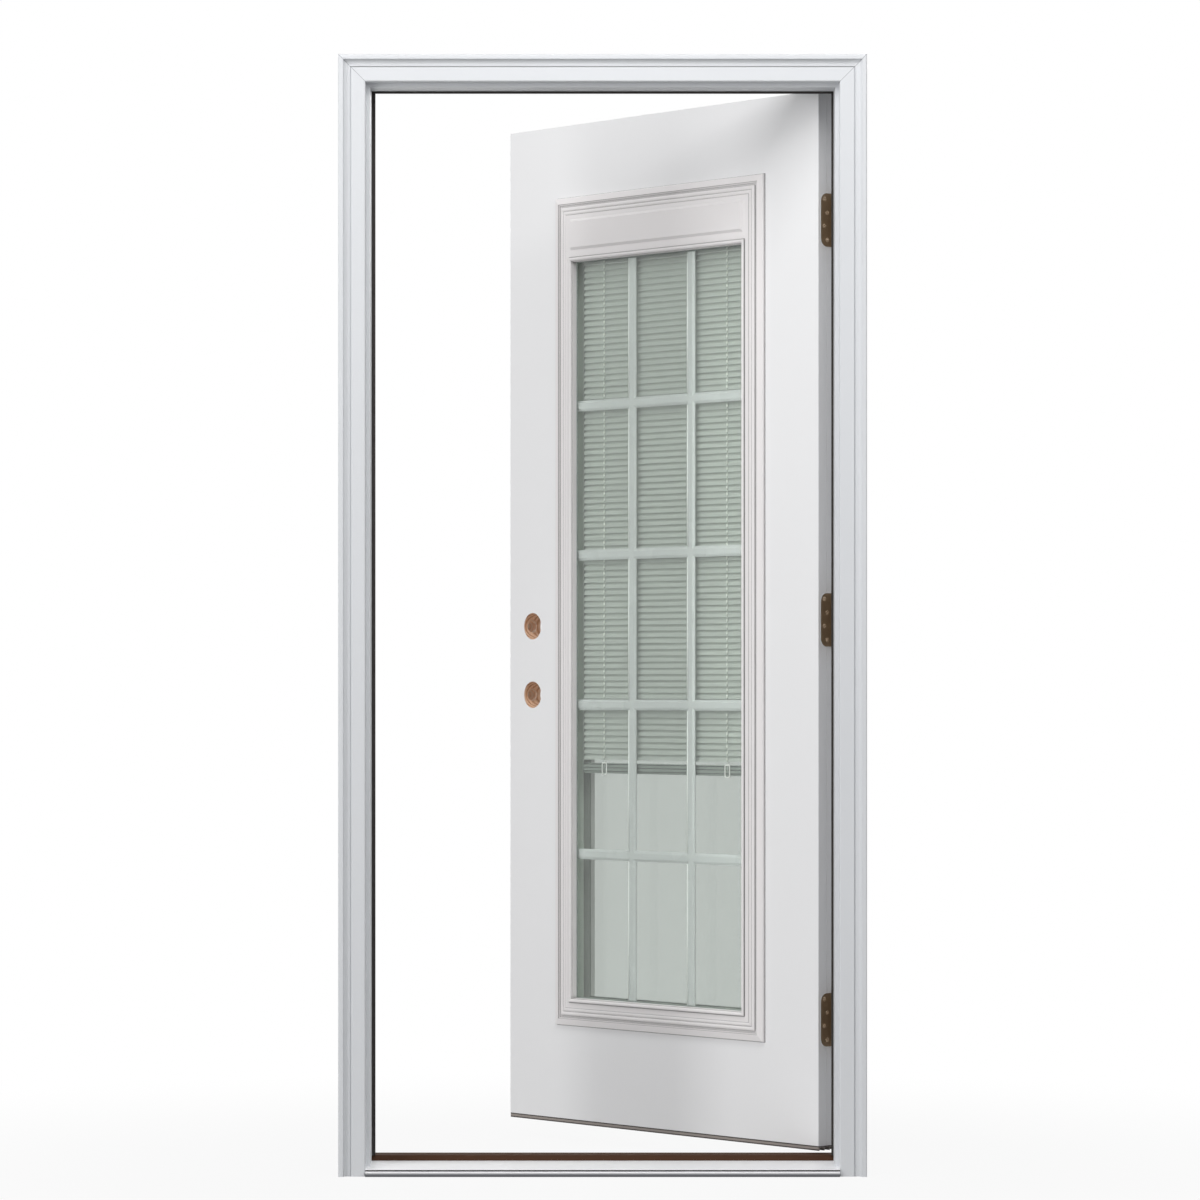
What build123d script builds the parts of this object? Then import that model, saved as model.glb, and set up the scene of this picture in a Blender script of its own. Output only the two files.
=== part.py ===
from build123d import *
import os
from math import atan2, cos, degrees, radians, sin

# Prehung inswing steel front door with a full lite, a grille and blinds between
# its panes. It is seen from outside, hinged on the right, and its leaf stands open.
# Millimetres. +X is the hinge side, +Y runs into the house, +Z is up. The origin is
# the middle of the sill's underside, in the plane of the jambs' outer edge.

inch = 25.4

# Leaf
leaf_width = 35.6 * inch
leaf_height = 79.0 * inch
leaf_thickness = 1.75 * inch
leaf_bottom = 45.0
open_angle = 48.5
skin = 0.8
skin_seam = 0.6
stile_width = 35.0
rail_height = 50.0
block_width = 85.0
block_margin = 100.0

# Gaps of the leaf in its frame
edge_gap = 5.0
seal_gap = 5.0

# Frame
jamb_depth = 4.5625 * inch
jamb_board = 0.75 * inch
side_stop = 20.0
head_stop = 11.5
shoulder_gap = 12.7
kerf_width = 3.0
kerf_depth = 9.0

# Brickmould
mould_width = 2.0 * inch
mould_thickness = 1.25 * inch
mould_reveal = 7.5
mould_round = 3.0
mould_bead = 9.0
mould_cove = 8.5
mould_quirk_start = 22.0
mould_quirk_width = 2.0
mould_quirk_depth = 1.5
mould_flat = 25.5

# Weatherstrip
strip_lap = 4.0
strip_corner = 2.0
strip_round = 2.5
strip_fin = 8.0
strip_fin_width = 2.4
kerf_inset = 6.5

# Sill
nose_round = 5.0
nose_depth = 7.5
groove_width = 2.6
lip_height = 1.2
lip_setback = 2.0
deck_front = 14.0
deck_back = 21.0
deck_sheet = 2.5
cap_top = 31.0
cap_seat = 15.0
cap_inset = 1.5
cap_slope = 4.0
cap_round = 4.0

# Hinges
hinge_height = 4.0 * inch
hinge_reach = 2.0 * inch
hinge_plate = 2.4
hinge_corner = 0.625 * inch
hinge_top_margin = 245.0
hinge_bottom_margin = 239.0
pin_standoff = 0.5 * inch
pin_radius = 3.0
pin_fit = 0.05
barrel_radius = 6.35
knuckle_count = 5
knuckle_gap = 0.3
plate_clearance = 0.8
pin_head = 3.5
pin_tip = 3.0
pin_point = 1.0
head_bevel = 1.75

# Lock bores
backset = 2.75 * inch
cross_bore = 2.125 * inch
edge_bore = 1.0 * inch
lock_height = 901.5
bore_spacing = 5.5 * inch
strike_width = 1.0 * inch
strike_height = 1.5 * inch
strike_depth = 12.0
strike_corner = 6.0

# Full lite
lite_side_margin = 147.5
lite_top_margin = 146.5
lite_bottom_margin = 189.5
lite_overlap = 22.0
lite_leg = 4.0
lite_leg_gap = 1.0
lite_leg_joint = 0.3
lite_border = 56.0
lite_top_border = 131.0
rim_height = 5.5
rim_bevel = 1.5
flange_end = 12.5
flange_top = 9.5
quirk_width = 3.0
quirk_depth = 1.6
reed_start = 20.0
reed_width = 8.0
reed_rise = 1.8
reed_base = 8.5
field_height = 9.5
lip_width = 8.5
lip_top = 13.5
lip_round = 2.5
lip_wall = 2.0
lip_quirk_width = 1.5
lip_quirk_depth = 1.2
cover_bottom = 24.0
cover_height = 62.0
cover_overhang = 5.0
cover_bevel = 5.0
cover_rise = 4.5

# Sealed glass unit
glass_recess = 3.0
pane = 3.2
unit_gap = 0.5
spacer_width = 8.0
spacer_inset = 3.0
grille_bar = 21.0
grille_thickness = 7.0
grille_gap = 1.0
grille_shoulder = 5.0
grille_edge = 2.4
grille_columns = 3
grille_rows = 5

# Blind between the panes
slat_end_gap = 3.8
slat_width = 14.5
slat_sheet = 0.4
slat_crown = 1.2
slat_pitch = 12.3
slat_tilt = 60.0
blind_gap = 1.5
blind_lift = 453.5
blind_rail_height = 21.0
blind_rail_depth = 8.4
blind_rail_corner = 2.5
headrail_height = 26.0
headrail_depth = 15.0
ladder_inset = 64.3
ladder_size = 0.9
ladder_gap = 0.3

# Blind operator on the inner frame
operator_inset = 36.5
operator_width = 9.0
operator_length = 760.0
operator_rise = 3.0
slider_length = 58.0
slider_rise = 9.0
slider_bevel = 2.0
operator_corner = 3.0

# Sweep
sweep_plate = 3.0
sweep_fin = 2.2
sweep_fins = 4
barb_spacing = 20.0
barb_groove = 3.0
barb_width = 2.4
barb_height = 9.0
barb_room = 1.0

# Derived places
leaf_top = leaf_bottom + leaf_height
half_leaf = leaf_width / 2
rabbet_half = half_leaf + edge_gap
stop_half = rabbet_half - side_stop
jamb_back = rabbet_half + jamb_board
head_rabbet = leaf_top + edge_gap
head_face = head_rabbet - head_stop
head_top = head_rabbet + jamb_board
shoulder = jamb_depth - leaf_thickness - shoulder_gap
strip_thickness = shoulder_gap - seal_gap
mould_inner = stop_half + mould_reveal
mould_outer = mould_inner + mould_width
mould_head = head_face + mould_reveal
mould_top = mould_head + mould_width
pin_x = half_leaf + edge_gap / 2
pin_y = jamb_depth + pin_standoff
top_hinge = leaf_top - hinge_top_margin
bottom_hinge = leaf_bottom + hinge_bottom_margin
hinge_levels = {"upper": top_hinge, "middle": (top_hinge + bottom_hinge) / 2, "lower": bottom_hinge}
bore_levels = (lock_height, lock_height + bore_spacing)
block_bottom = bore_levels[0] - block_margin
block_top = bore_levels[1] + block_margin
lite_width = leaf_width - 2 * lite_side_margin
lite_height = leaf_height - lite_top_margin - lite_bottom_margin
lite_bottom = leaf_bottom + lite_bottom_margin
lite_top = lite_bottom + lite_height
lite_middle = lite_bottom + lite_height / 2
opening_half = lite_width / 2 - lite_border
opening_bottom = lite_bottom + lite_border
opening_top = lite_top - lite_top_border
cutout_width = lite_width - 2 * lite_overlap
cutout_height = lite_height - 2 * lite_overlap
leg_offset = lite_overlap + lite_leg_gap
unit_offset = leg_offset + lite_leg + unit_gap
unit_width = lite_width - 2 * unit_offset
unit_height = lite_height - 2 * unit_offset
unit_bottom = lite_bottom + unit_offset
cavity_front = glass_recess + pane
cavity_back = leaf_thickness - glass_recess - pane
spacer_half = unit_width / 2 - spacer_inset
spacer_bottom = unit_bottom + spacer_inset
spacer_top = unit_bottom + unit_height - spacer_inset
cavity_top = spacer_top - spacer_width
grille_depth = cavity_front + grille_gap
blind_depth = grille_depth + grille_thickness + blind_gap + headrail_depth / 2
bore_x = -half_leaf + backset

# The open leaf's own axes stand on the hinge pin. Across the leaf, x runs toward
# the hinge edge from the leaf's middle, and depth runs inward from its outer face.
turn = radians(open_angle)
leaf_axes = Plane(origin=(pin_x, pin_y, 0), x_dir=(cos(turn), -sin(turn), 0), z_dir=(0, 0, 1))
leaf_middle = -(half_leaf + edge_gap / 2)
leaf_face = -(pin_standoff + leaf_thickness)


def leaf_point(x, depth, z):
    """A point of the leaf in the frame's own axes."""
    return leaf_axes.from_local_coords((leaf_middle + x, leaf_face + depth, z))


def outer_plane(depth=0.0):
    """Elevation plane of the leaf as seen from outside, at a depth behind its outer face."""
    return Plane(origin=leaf_point(0, depth, 0), x_dir=leaf_axes.x_dir, z_dir=-leaf_axes.y_dir)


def inner_plane(depth=0.0):
    """Elevation plane of the leaf as seen from inside, at a depth behind its inner face."""
    origin = leaf_point(0, leaf_thickness - depth, 0)
    return Plane(origin=origin, x_dir=-leaf_axes.x_dir, z_dir=leaf_axes.y_dir)


def plan_plane(z):
    """Level plane of the leaf at height z, with x toward the hinge and y inward."""
    return Plane(origin=leaf_point(0, 0, z), x_dir=leaf_axes.x_dir, z_dir=(0, 0, 1))


def edge_plane(x, z):
    """Plane of the leaf's edge at x and height z, with x inward and y up."""
    return Plane(origin=leaf_point(x, 0, z), x_dir=leaf_axes.y_dir, z_dir=leaf_axes.x_dir)


def save(piece, label):
    """Label a finished piece and write its STEP file."""
    piece.part.label = label
    export_step(piece.part, f"parts/{label}.step")


os.makedirs("parts", exist_ok=True)

# The hinges share these outlines: a plate with two rounded corners, let into the wood.
frame_axes = Plane(origin=(pin_x, pin_y, 0))


def hinge_plane(side, level):
    """Plane of a hinge plate beside the pin, facing into the wood, with x inward."""
    axes = frame_axes if side > 0 else leaf_axes
    origin = axes.from_local_coords((side * edge_gap / 2, 0, level))
    return Plane(origin=origin, x_dir=axes.y_dir, z_dir=axes.x_dir * side)


def hinge_outline(end):
    """Outline of a hinge plate, from its rounded corners to a distance short of the pin."""
    with BuildSketch() as outline:
        with Locations((-hinge_reach, 0)):
            Rectangle(hinge_reach - end, hinge_height, align=(Align.MIN, Align.CENTER))
        fillet(outline.vertices().group_by(Axis.X)[0], hinge_corner)
    return outline.sketch


def hinge_mortises(side):
    """The three mortises of one side, as a solid to cut away."""
    with BuildPart() as mortises:
        for level in hinge_levels.values():
            with BuildSketch(hinge_plane(side, level)):
                add(hinge_outline(0))
            extrude(amount=hinge_plate)
    return mortises.part


def frame_outline():
    """Plan between the jambs, stepped round the brickmoulds, the stops and the rabbets."""
    right = [
        (mould_inner, -mould_thickness),
        (mould_inner, 0),
        (stop_half, 0),
        (stop_half, shoulder),
        (rabbet_half, shoulder),
        (rabbet_half, jamb_depth),
    ]
    left = [(-x, y) for x, y in reversed(right)]
    with BuildSketch() as outline:
        with BuildLine():
            Polyline(*right, *left, close=True)
        make_face()
    return outline.sketch


# Side jambs: a rabbeted board with a kerf for the weatherstrip. The hinge jamb has
# mortises for its hinge plates, and the lock jamb has two strike pockets.
strike_y = jamb_depth - leaf_thickness / 2

for side, name in ((-1, "lock"), (1, "hinge")):
    with BuildPart() as jamb:
        with BuildSketch():
            with BuildLine():
                Polyline(
                    (side * jamb_back, 0),
                    (side * stop_half, 0),
                    (side * stop_half, shoulder),
                    (side * rabbet_half, shoulder),
                    (side * rabbet_half, jamb_depth),
                    (side * jamb_back, jamb_depth),
                    close=True,
                )
            make_face()
            with Locations((side * (rabbet_half - kerf_inset), shoulder - kerf_depth / 2)):
                Rectangle(kerf_width, kerf_depth, mode=Mode.SUBTRACT)
        extrude(amount=head_top)
        if side > 0:
            add(hinge_mortises(side), mode=Mode.SUBTRACT)
        else:
            for level in bore_levels:
                pocket = Plane(origin=(-rabbet_half, strike_y, level), x_dir=(0, 1, 0), z_dir=(1, 0, 0))
                with BuildSketch(pocket):
                    RectangleRounded(strike_width, strike_height, strike_corner)
                extrude(amount=-strike_depth, mode=Mode.SUBTRACT)
    save(jamb, f"{name}_jamb")

# Head jamb: the same rabbet turned level, fitted between the side jambs.
with BuildPart() as head_jamb:
    with BuildSketch(Plane.YZ.offset(-rabbet_half)):
        with BuildLine():
            Polyline(
                (0, head_top),
                (0, head_face),
                (shoulder, head_face),
                (shoulder, head_rabbet),
                (jamb_depth, head_rabbet),
                (jamb_depth, head_top),
                close=True,
            )
        make_face()
        with Locations((shoulder - kerf_depth / 2, head_rabbet - kerf_inset)):
            Rectangle(kerf_depth, kerf_width, mode=Mode.SUBTRACT)
    extrude(amount=2 * rabbet_half)
    with BuildSketch():
        add(frame_outline())
    extrude(amount=head_top, mode=Mode.INTERSECT)
save(head_jamb, "head_jamb")


# Brickmould: a rounded bead, a cove, a quirk and a flat, mitred at the head.
def mould_section():
    """Brickmould section, as distance in from its outer edge and height off the wall."""
    top = mould_thickness
    cove_end = mould_bead + mould_cove
    floor = top - mould_cove
    quirk_end = mould_quirk_start + mould_quirk_width
    round_end = mould_flat - mould_round
    with BuildSketch() as section:
        with BuildLine():
            Line((0, 0), (0, top - mould_round))
            RadiusArc((0, top - mould_round), (mould_round, top), mould_round)
            Line((mould_round, top), (mould_bead, top))
            RadiusArc((mould_bead, top), (cove_end, floor), -mould_cove)
            Polyline(
                (cove_end, floor),
                (mould_quirk_start, floor),
                (mould_quirk_start, floor - mould_quirk_depth),
                (quirk_end, floor - mould_quirk_depth),
                (quirk_end, mould_flat),
                (mould_width - mould_round, mould_flat),
            )
            RadiusArc((mould_width - mould_round, mould_flat), (mould_width, round_end), mould_round)
            Polyline((mould_width, round_end), (mould_width, 0), (0, 0))
        make_face()
    return section.sketch


def mitre(side):
    """Mitre plane at one top corner of the brickmould, facing the head piece."""
    return Plane(origin=(side * mould_outer, 0, mould_top), z_dir=(-side, 0, 1))


for side, name in ((-1, "lock"), (1, "hinge")):
    with BuildPart() as brickmould:
        base = Plane(origin=(side * mould_outer, 0, 0), x_dir=(-side, 0, 0), z_dir=(0, 0, side))
        with BuildSketch(base):
            add(mould_section())
        extrude(amount=side * mould_top)
        split(bisect_by=mitre(side), keep=Keep.BOTTOM)
    save(brickmould, f"{name}_brickmould")

with BuildPart() as head_brickmould:
    with BuildSketch(Plane(origin=(mould_outer, 0, mould_top), x_dir=(0, 0, -1), z_dir=(-1, 0, 0))):
        add(mould_section())
    extrude(amount=2 * mould_outer)
    for side in (-1, 1):
        split(bisect_by=mitre(side), keep=Keep.TOP)
save(head_brickmould, "head_brickmould")


# Weatherstrip: a soft bulb on the stop's shoulder with a fin in the kerf.
def strip_section(stop_depth):
    """Weatherstrip section, as distance out from the rabbet and depth past the shoulder."""
    tip = stop_depth + strip_lap
    with BuildSketch() as section:
        with Locations((strip_corner, 0)):
            Rectangle(tip - strip_corner, strip_thickness, align=(Align.MIN, Align.MIN))
        fillet(section.vertices().group_by(Axis.X)[-1], strip_round)
        with Locations((kerf_inset, 0)):
            Rectangle(strip_fin_width, 2 * strip_fin)
        with Locations((kerf_inset, strip_thickness)):
            Rectangle(stop_depth, 2 * strip_fin, align=(Align.CENTER, Align.MIN), mode=Mode.SUBTRACT)
    return section.sketch


strip_top = head_face - strip_lap

for side, name in ((-1, "lock"), (1, "hinge")):
    with BuildPart() as weatherstrip:
        foot = (side * rabbet_half, shoulder, cap_top)
        base = Plane(origin=foot, x_dir=(-side, 0, 0), z_dir=(0, 0, -side))
        with BuildSketch(base):
            add(strip_section(side_stop))
        extrude(amount=-side * (strip_top - cap_top))
    save(weatherstrip, f"{name}_weatherstrip")

with BuildPart() as head_weatherstrip:
    corner = (-rabbet_half, shoulder, head_rabbet)
    with BuildSketch(Plane(origin=corner, x_dir=(0, 0, -1), z_dir=(1, 0, 0))):
        add(strip_section(head_stop))
    extrude(amount=2 * rabbet_half)
    with BuildSketch():
        add(frame_outline())
    extrude(amount=head_top, mode=Mode.INTERSECT)
save(head_weatherstrip, "head_weatherstrip")

# Sill: a solid base under an aluminium deck with a rounded nose below a grooved lip,
# and a brown cap in line with the closed leaf.
nose = -mould_thickness
cap_front = shoulder + cap_inset
nose_back = nose + nose_depth
nose_top = deck_front - lip_height - groove_width
lip_front = nose + lip_setback

with BuildPart() as sill_base:
    with BuildSketch(Plane.YZ.offset(-rabbet_half)):
        with BuildLine():
            Polyline(
                (nose_back, 0),
                (nose_back, deck_front - deck_sheet),
                (cap_front, deck_back - deck_sheet),
                (cap_front, cap_seat),
                (jamb_depth, cap_seat),
                (jamb_depth, 0),
                close=True,
            )
        make_face()
    extrude(amount=2 * rabbet_half)
    with BuildSketch():
        add(frame_outline())
    extrude(amount=cap_top, mode=Mode.INTERSECT)
save(sill_base, "sill_base")

with BuildPart() as sill_deck:
    with BuildSketch(Plane.YZ.offset(-rabbet_half)):
        with BuildLine():
            Polyline(
                (nose_back, 0),
                (nose, 0),
                (nose, nose_top - nose_round),
            )
            RadiusArc((nose, nose_top - nose_round), (nose + nose_round, nose_top), nose_round)
            Polyline(
                (nose + nose_round, nose_top),
                (nose + nose_round, nose_top + groove_width),
                (lip_front, nose_top + groove_width),
                (lip_front, deck_front),
                (cap_front, deck_back),
                (cap_front, deck_back - deck_sheet),
                (nose_back, deck_front - deck_sheet),
                (nose_back, 0),
            )
        make_face()
    extrude(amount=2 * rabbet_half)
    with BuildSketch():
        add(frame_outline())
    extrude(amount=cap_top, mode=Mode.INTERSECT)
save(sill_deck, "sill_deck")

with BuildPart() as sill_cap:
    with BuildSketch(Plane.YZ.offset(-rabbet_half)) as section:
        with BuildLine():
            Polyline(
                (cap_front, cap_seat),
                (cap_front, deck_back),
                (cap_front + cap_slope, cap_top),
                (jamb_depth, cap_top),
                (jamb_depth, cap_seat),
                close=True,
            )
        make_face()
        fillet(section.vertices().group_by(Axis.Y)[-1], cap_round)
    extrude(amount=2 * rabbet_half)
    with BuildSketch():
        add(frame_outline())
    extrude(amount=cap_top, mode=Mode.INTERSECT)
save(sill_cap, "sill_cap")


# Butt hinges: the jamb carries the odd knuckles and the pin, the leaf the even ones.
def hinge_leaf(side, level):
    """One plate of a hinge with its knuckles round the pin."""
    axes = frame_axes if side > 0 else leaf_axes
    knuckle = hinge_height / knuckle_count
    plate_end = barrel_radius + plate_clearance
    first = 0 if side > 0 else 1
    with BuildPart() as plate:
        with BuildSketch(hinge_plane(side, level)):
            add(hinge_outline(plate_end))
        extrude(amount=hinge_plate)
        for count in range(first, knuckle_count, 2):
            low = level - hinge_height / 2 + count * knuckle + knuckle_gap / 2
            base = Plane(origin=axes.from_local_coords((0, 0, low)), x_dir=axes.x_dir, z_dir=(0, 0, 1))
            with BuildSketch(base):
                Circle(barrel_radius)
                with Locations((side * (edge_gap + hinge_plate) / 2, 0)):
                    Rectangle(hinge_plate, plate_end + hinge_plate, align=(Align.CENTER, Align.MAX))
                Circle(pin_radius + pin_fit, mode=Mode.SUBTRACT)
            extrude(amount=knuckle - knuckle_gap)
    return plate


def hinge_pin(level):
    """The loose pin of one hinge, with a bevelled head on the top knuckle."""
    seat = level + (hinge_height - knuckle_gap) / 2
    low = level - hinge_height / 2 - pin_tip
    with BuildPart() as pin:
        with BuildSketch(Plane(origin=(pin_x, pin_y, low))):
            Circle(pin_radius)
        extrude(amount=seat - low)
        chamfer(pin.edges().group_by(Axis.Z)[0], pin_point)
        with BuildSketch(Plane(origin=(pin_x, pin_y, seat))):
            Circle(barrel_radius)
        extrude(amount=pin_head)
        chamfer(pin.edges().group_by(Axis.Z)[-1], head_bevel)
    return pin


for name, level in hinge_levels.items():
    save(hinge_leaf(1, level), f"{name}_hinge_jamb_plate")
    save(hinge_leaf(-1, level), f"{name}_hinge_leaf_plate")
    save(hinge_pin(level), f"{name}_hinge_pin")

# What is cut through the leaf: the hole for the lite, the bores for two locks, and
# the mortises of its hinge plates.
with BuildPart() as lite_cutout:
    with BuildSketch(outer_plane()):
        with Locations((0, lite_middle)):
            Rectangle(cutout_width, cutout_height)
    extrude(amount=-leaf_thickness)

with BuildPart() as lock_bores:
    with BuildSketch(outer_plane()):
        for level in bore_levels:
            with Locations((bore_x, level)):
                Circle(cross_bore / 2)
    extrude(amount=-leaf_thickness)
    for level in bore_levels:
        with BuildSketch(edge_plane(-half_leaf, level)):
            with Locations((leaf_thickness / 2, 0)):
                Circle(edge_bore / 2)
        extrude(amount=backset)

leaf_mortises = hinge_mortises(-1)

# Steel skins, folded over the leaf's two long edges to a thin seam.
fold = (leaf_thickness - skin_seam) / 2

for name, face, inward in (("exterior", 0, 1), ("interior", leaf_thickness, -1)):
    with BuildPart() as steel_skin:
        with BuildSketch(plan_plane(leaf_bottom)):
            with BuildLine():
                Polyline(
                    (-half_leaf, face),
                    (half_leaf, face),
                    (half_leaf, face + inward * fold),
                    (half_leaf - skin, face + inward * fold),
                    (half_leaf - skin, face + inward * skin),
                    (-half_leaf + skin, face + inward * skin),
                    (-half_leaf + skin, face + inward * fold),
                    (-half_leaf, face + inward * fold),
                    close=True,
                )
            make_face()
        extrude(amount=leaf_height)
        add(lite_cutout.part, mode=Mode.SUBTRACT)
        add(lock_bores.part, mode=Mode.SUBTRACT)
        add(leaf_mortises, mode=Mode.SUBTRACT)
    save(steel_skin, f"{name}_skin")

# Wood inside the skins: two stiles, two rails and the block that the locks pass
# through. Foam fills the rest.
core_depth = leaf_thickness - 2 * skin
stile_outer = half_leaf - skin
stile_inner = stile_outer - stile_width

for side, name in ((-1, "lock"), (1, "hinge")):
    with BuildPart() as stile:
        with BuildSketch(plan_plane(leaf_bottom)):
            with Locations((side * (stile_outer + stile_inner) / 2, leaf_thickness / 2)):
                Rectangle(stile_width, core_depth)
        extrude(amount=leaf_height)
        add(lock_bores.part if side < 0 else leaf_mortises, mode=Mode.SUBTRACT)
    save(stile, f"{name}_stile")

barb_depths = (leaf_thickness / 2 - barb_spacing / 2, leaf_thickness / 2 + barb_spacing / 2)

for name, low in (("top", leaf_top - rail_height), ("bottom", leaf_bottom)):
    with BuildPart() as rail:
        with BuildSketch(plan_plane(low)):
            with Locations((0, leaf_thickness / 2)):
                Rectangle(2 * stile_inner, core_depth)
        extrude(amount=rail_height)
        if name == "bottom":
            with BuildSketch(plan_plane(low)):
                with Locations(*[(0, depth) for depth in barb_depths]):
                    Rectangle(2 * stile_inner, barb_groove)
            extrude(amount=barb_height + barb_room, mode=Mode.SUBTRACT)
    save(rail, f"{name}_rail")

with BuildPart() as lock_block:
    with BuildSketch(plan_plane(block_bottom)):
        with Locations((-stile_inner, leaf_thickness / 2)):
            Rectangle(block_width, core_depth, align=(Align.MIN, Align.CENTER))
    extrude(amount=block_top - block_bottom)
    add(lock_bores.part, mode=Mode.SUBTRACT)
save(lock_block, "lock_block")

with BuildPart() as foam_core:
    with BuildSketch(plan_plane(leaf_bottom + rail_height)):
        with Locations((0, leaf_thickness / 2)):
            Rectangle(2 * stile_inner, core_depth)
    extrude(amount=leaf_height - 2 * rail_height)
    add(lite_cutout.part, mode=Mode.SUBTRACT)
    with BuildSketch(plan_plane(block_bottom)):
        with Locations((-stile_inner, leaf_thickness / 2)):
            Rectangle(block_width, core_depth, align=(Align.MIN, Align.CENTER))
    extrude(amount=block_top - block_bottom, mode=Mode.SUBTRACT)
save(foam_core, "foam_core")

# Sweep: a soft strip with two barbs in the bottom rail and fins toward the cap.
sweep_low = cap_top + seal_gap
fin_pitch = (leaf_thickness - 2 * skin - sweep_fin) / (sweep_fins - 1)

with BuildPart() as door_sweep:
    with BuildSketch(plan_plane(leaf_bottom - sweep_plate)):
        with Locations((0, leaf_thickness / 2)):
            Rectangle(leaf_width, core_depth)
    extrude(amount=sweep_plate)
    with BuildSketch(plan_plane(sweep_low)):
        for count in range(sweep_fins):
            with Locations((0, skin + sweep_fin / 2 + count * fin_pitch)):
                Rectangle(leaf_width, sweep_fin)
    extrude(amount=leaf_bottom - sweep_plate - sweep_low)
    with BuildSketch(plan_plane(leaf_bottom)):
        with Locations(*[(0, depth) for depth in barb_depths]):
            Rectangle(2 * (stile_inner - barb_room), barb_width)
    extrude(amount=barb_height)
save(door_sweep, "door_sweep")


# Lite frames: a moulded section swept round the lite, with a leg through the leaf to
# its twin and a lip on the glass. A field across the top carries the cover panel.
def lite_section():
    """Moulding section, as distance in from the outer edge and height off the leaf."""
    leg_low = lite_leg_joint / 2 - leaf_thickness / 2
    leg_inner = leg_offset + lite_leg
    quirk_end = flange_end + quirk_width
    groove_floor = flange_top - 2 * quirk_depth
    reeds_end = reed_start + 2 * reed_width
    with BuildSketch() as section:
        with BuildLine():
            Polyline(
                (0, 0),
                (0, rim_height),
                (rim_bevel, rim_height + rim_bevel),
                (flange_end, flange_top),
                (flange_end, flange_top - quirk_depth),
                (quirk_end, flange_top - quirk_depth),
                (quirk_end, groove_floor),
                (reed_start, groove_floor),
                (reed_start, reed_base),
            )
            for start in (reed_start, reed_start + reed_width):
                crest = (start + reed_width / 2, reed_base + reed_rise)
                ThreePointArc((start, reed_base), crest, (start + reed_width, reed_base))
            Polyline(
                (reeds_end, reed_base),
                (reeds_end, field_height),
                (lite_border, field_height),
                (lite_border, -glass_recess),
                (leg_inner, -glass_recess),
                (leg_inner, leg_low),
                (leg_offset, leg_low),
                (leg_offset, 0),
                (0, 0),
            )
        make_face()
    return section.sketch


def lip_section():
    """Section of the raised lip, as distance out from the glass and height off the leaf."""
    with BuildSketch() as section:
        with BuildLine():
            Polyline(
                (0, -glass_recess),
                (lip_wall, lip_top - lip_wall),
                (lip_wall + lip_round, lip_top),
                (lip_width - lip_round, lip_top),
            )
            RadiusArc(
                (lip_width - lip_round, lip_top),
                (lip_width, lip_top - lip_round),
                lip_round,
            )
            Polyline(
                (lip_width, lip_top - lip_round),
                (lip_width, -glass_recess),
                (0, -glass_recess),
            )
        make_face()
    return section.sketch


def lite_frame(face):
    """A lite frame on the elevation plane of one face of the leaf."""
    left, right = -lite_width / 2, lite_width / 2
    foot = face.from_local_coords((0, lite_bottom, 0))
    sill = face.from_local_coords((0, opening_bottom, 0))
    quirk_outer = lip_width + lip_quirk_width
    opening_height = opening_top - opening_bottom
    with BuildPart() as frame:
        with BuildLine(face) as path:
            Polyline(
                (0, lite_bottom),
                (right, lite_bottom),
                (right, lite_top),
                (left, lite_top),
                (left, lite_bottom),
                close=True,
            )
        with BuildSketch(Plane(origin=foot, x_dir=face.y_dir, z_dir=face.x_dir)):
            add(lite_section())
        sweep(path=path.wire(), transition=Transition.RIGHT)
        with BuildSketch(face.offset(-glass_recess)):
            with Locations((0, opening_top)):
                Rectangle(
                    2 * opening_half,
                    lite_top_border - lite_border,
                    align=(Align.CENTER, Align.MIN),
                )
        extrude(amount=glass_recess + field_height)
        with BuildSketch(face.offset(field_height - lip_quirk_depth)):
            with Locations((0, (opening_bottom + opening_top) / 2)):
                Rectangle(2 * (opening_half + quirk_outer), opening_height + 2 * quirk_outer)
                Rectangle(
                    2 * opening_half,
                    opening_height,
                    mode=Mode.SUBTRACT,
                )
        extrude(amount=lip_quirk_depth, mode=Mode.SUBTRACT)
        with BuildLine(face) as lip_path:
            Polyline(
                (0, opening_bottom),
                (opening_half, opening_bottom),
                (opening_half, opening_top),
                (-opening_half, opening_top),
                (-opening_half, opening_bottom),
                close=True,
            )
        with BuildSketch(Plane(origin=sill, x_dir=-face.y_dir, z_dir=-face.x_dir)):
            add(lip_section())
        sweep(path=lip_path.wire(), transition=Transition.RIGHT)
    return frame


def cover_panel(face):
    """The raised panel with bevelled edges on the field above the glass."""
    with BuildPart() as panel:
        with BuildSketch(face.offset(field_height)):
            with Locations((0, opening_top + cover_bottom)):
                Rectangle(
                    2 * (opening_half + cover_overhang),
                    cover_height,
                    align=(Align.CENTER, Align.MIN),
                )
        extrude(amount=cover_rise, taper=degrees(atan2(cover_bevel, cover_rise)))
    return panel


for name, face in (("exterior", outer_plane()), ("interior", inner_plane())):
    save(lite_frame(face), f"{name}_lite_frame")
    save(cover_panel(face), f"{name}_cover_panel")
    with BuildPart() as glass_pane:
        with BuildSketch(face.offset(-glass_recess)):
            with Locations((0, lite_middle)):
                Rectangle(unit_width, unit_height)
        extrude(amount=-pane)
    save(glass_pane, f"{name}_pane")

# Spacer between the panes.
with BuildPart() as glass_spacer:
    with BuildSketch(outer_plane(cavity_front)):
        with Locations((0, lite_middle)):
            Rectangle(2 * spacer_half, spacer_top - spacer_bottom)
            Rectangle(
                2 * (spacer_half - spacer_width),
                spacer_top - spacer_bottom - 2 * spacer_width,
                mode=Mode.SUBTRACT,
            )
    extrude(amount=-(cavity_back - cavity_front))
save(glass_spacer, "glass_spacer")


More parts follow.
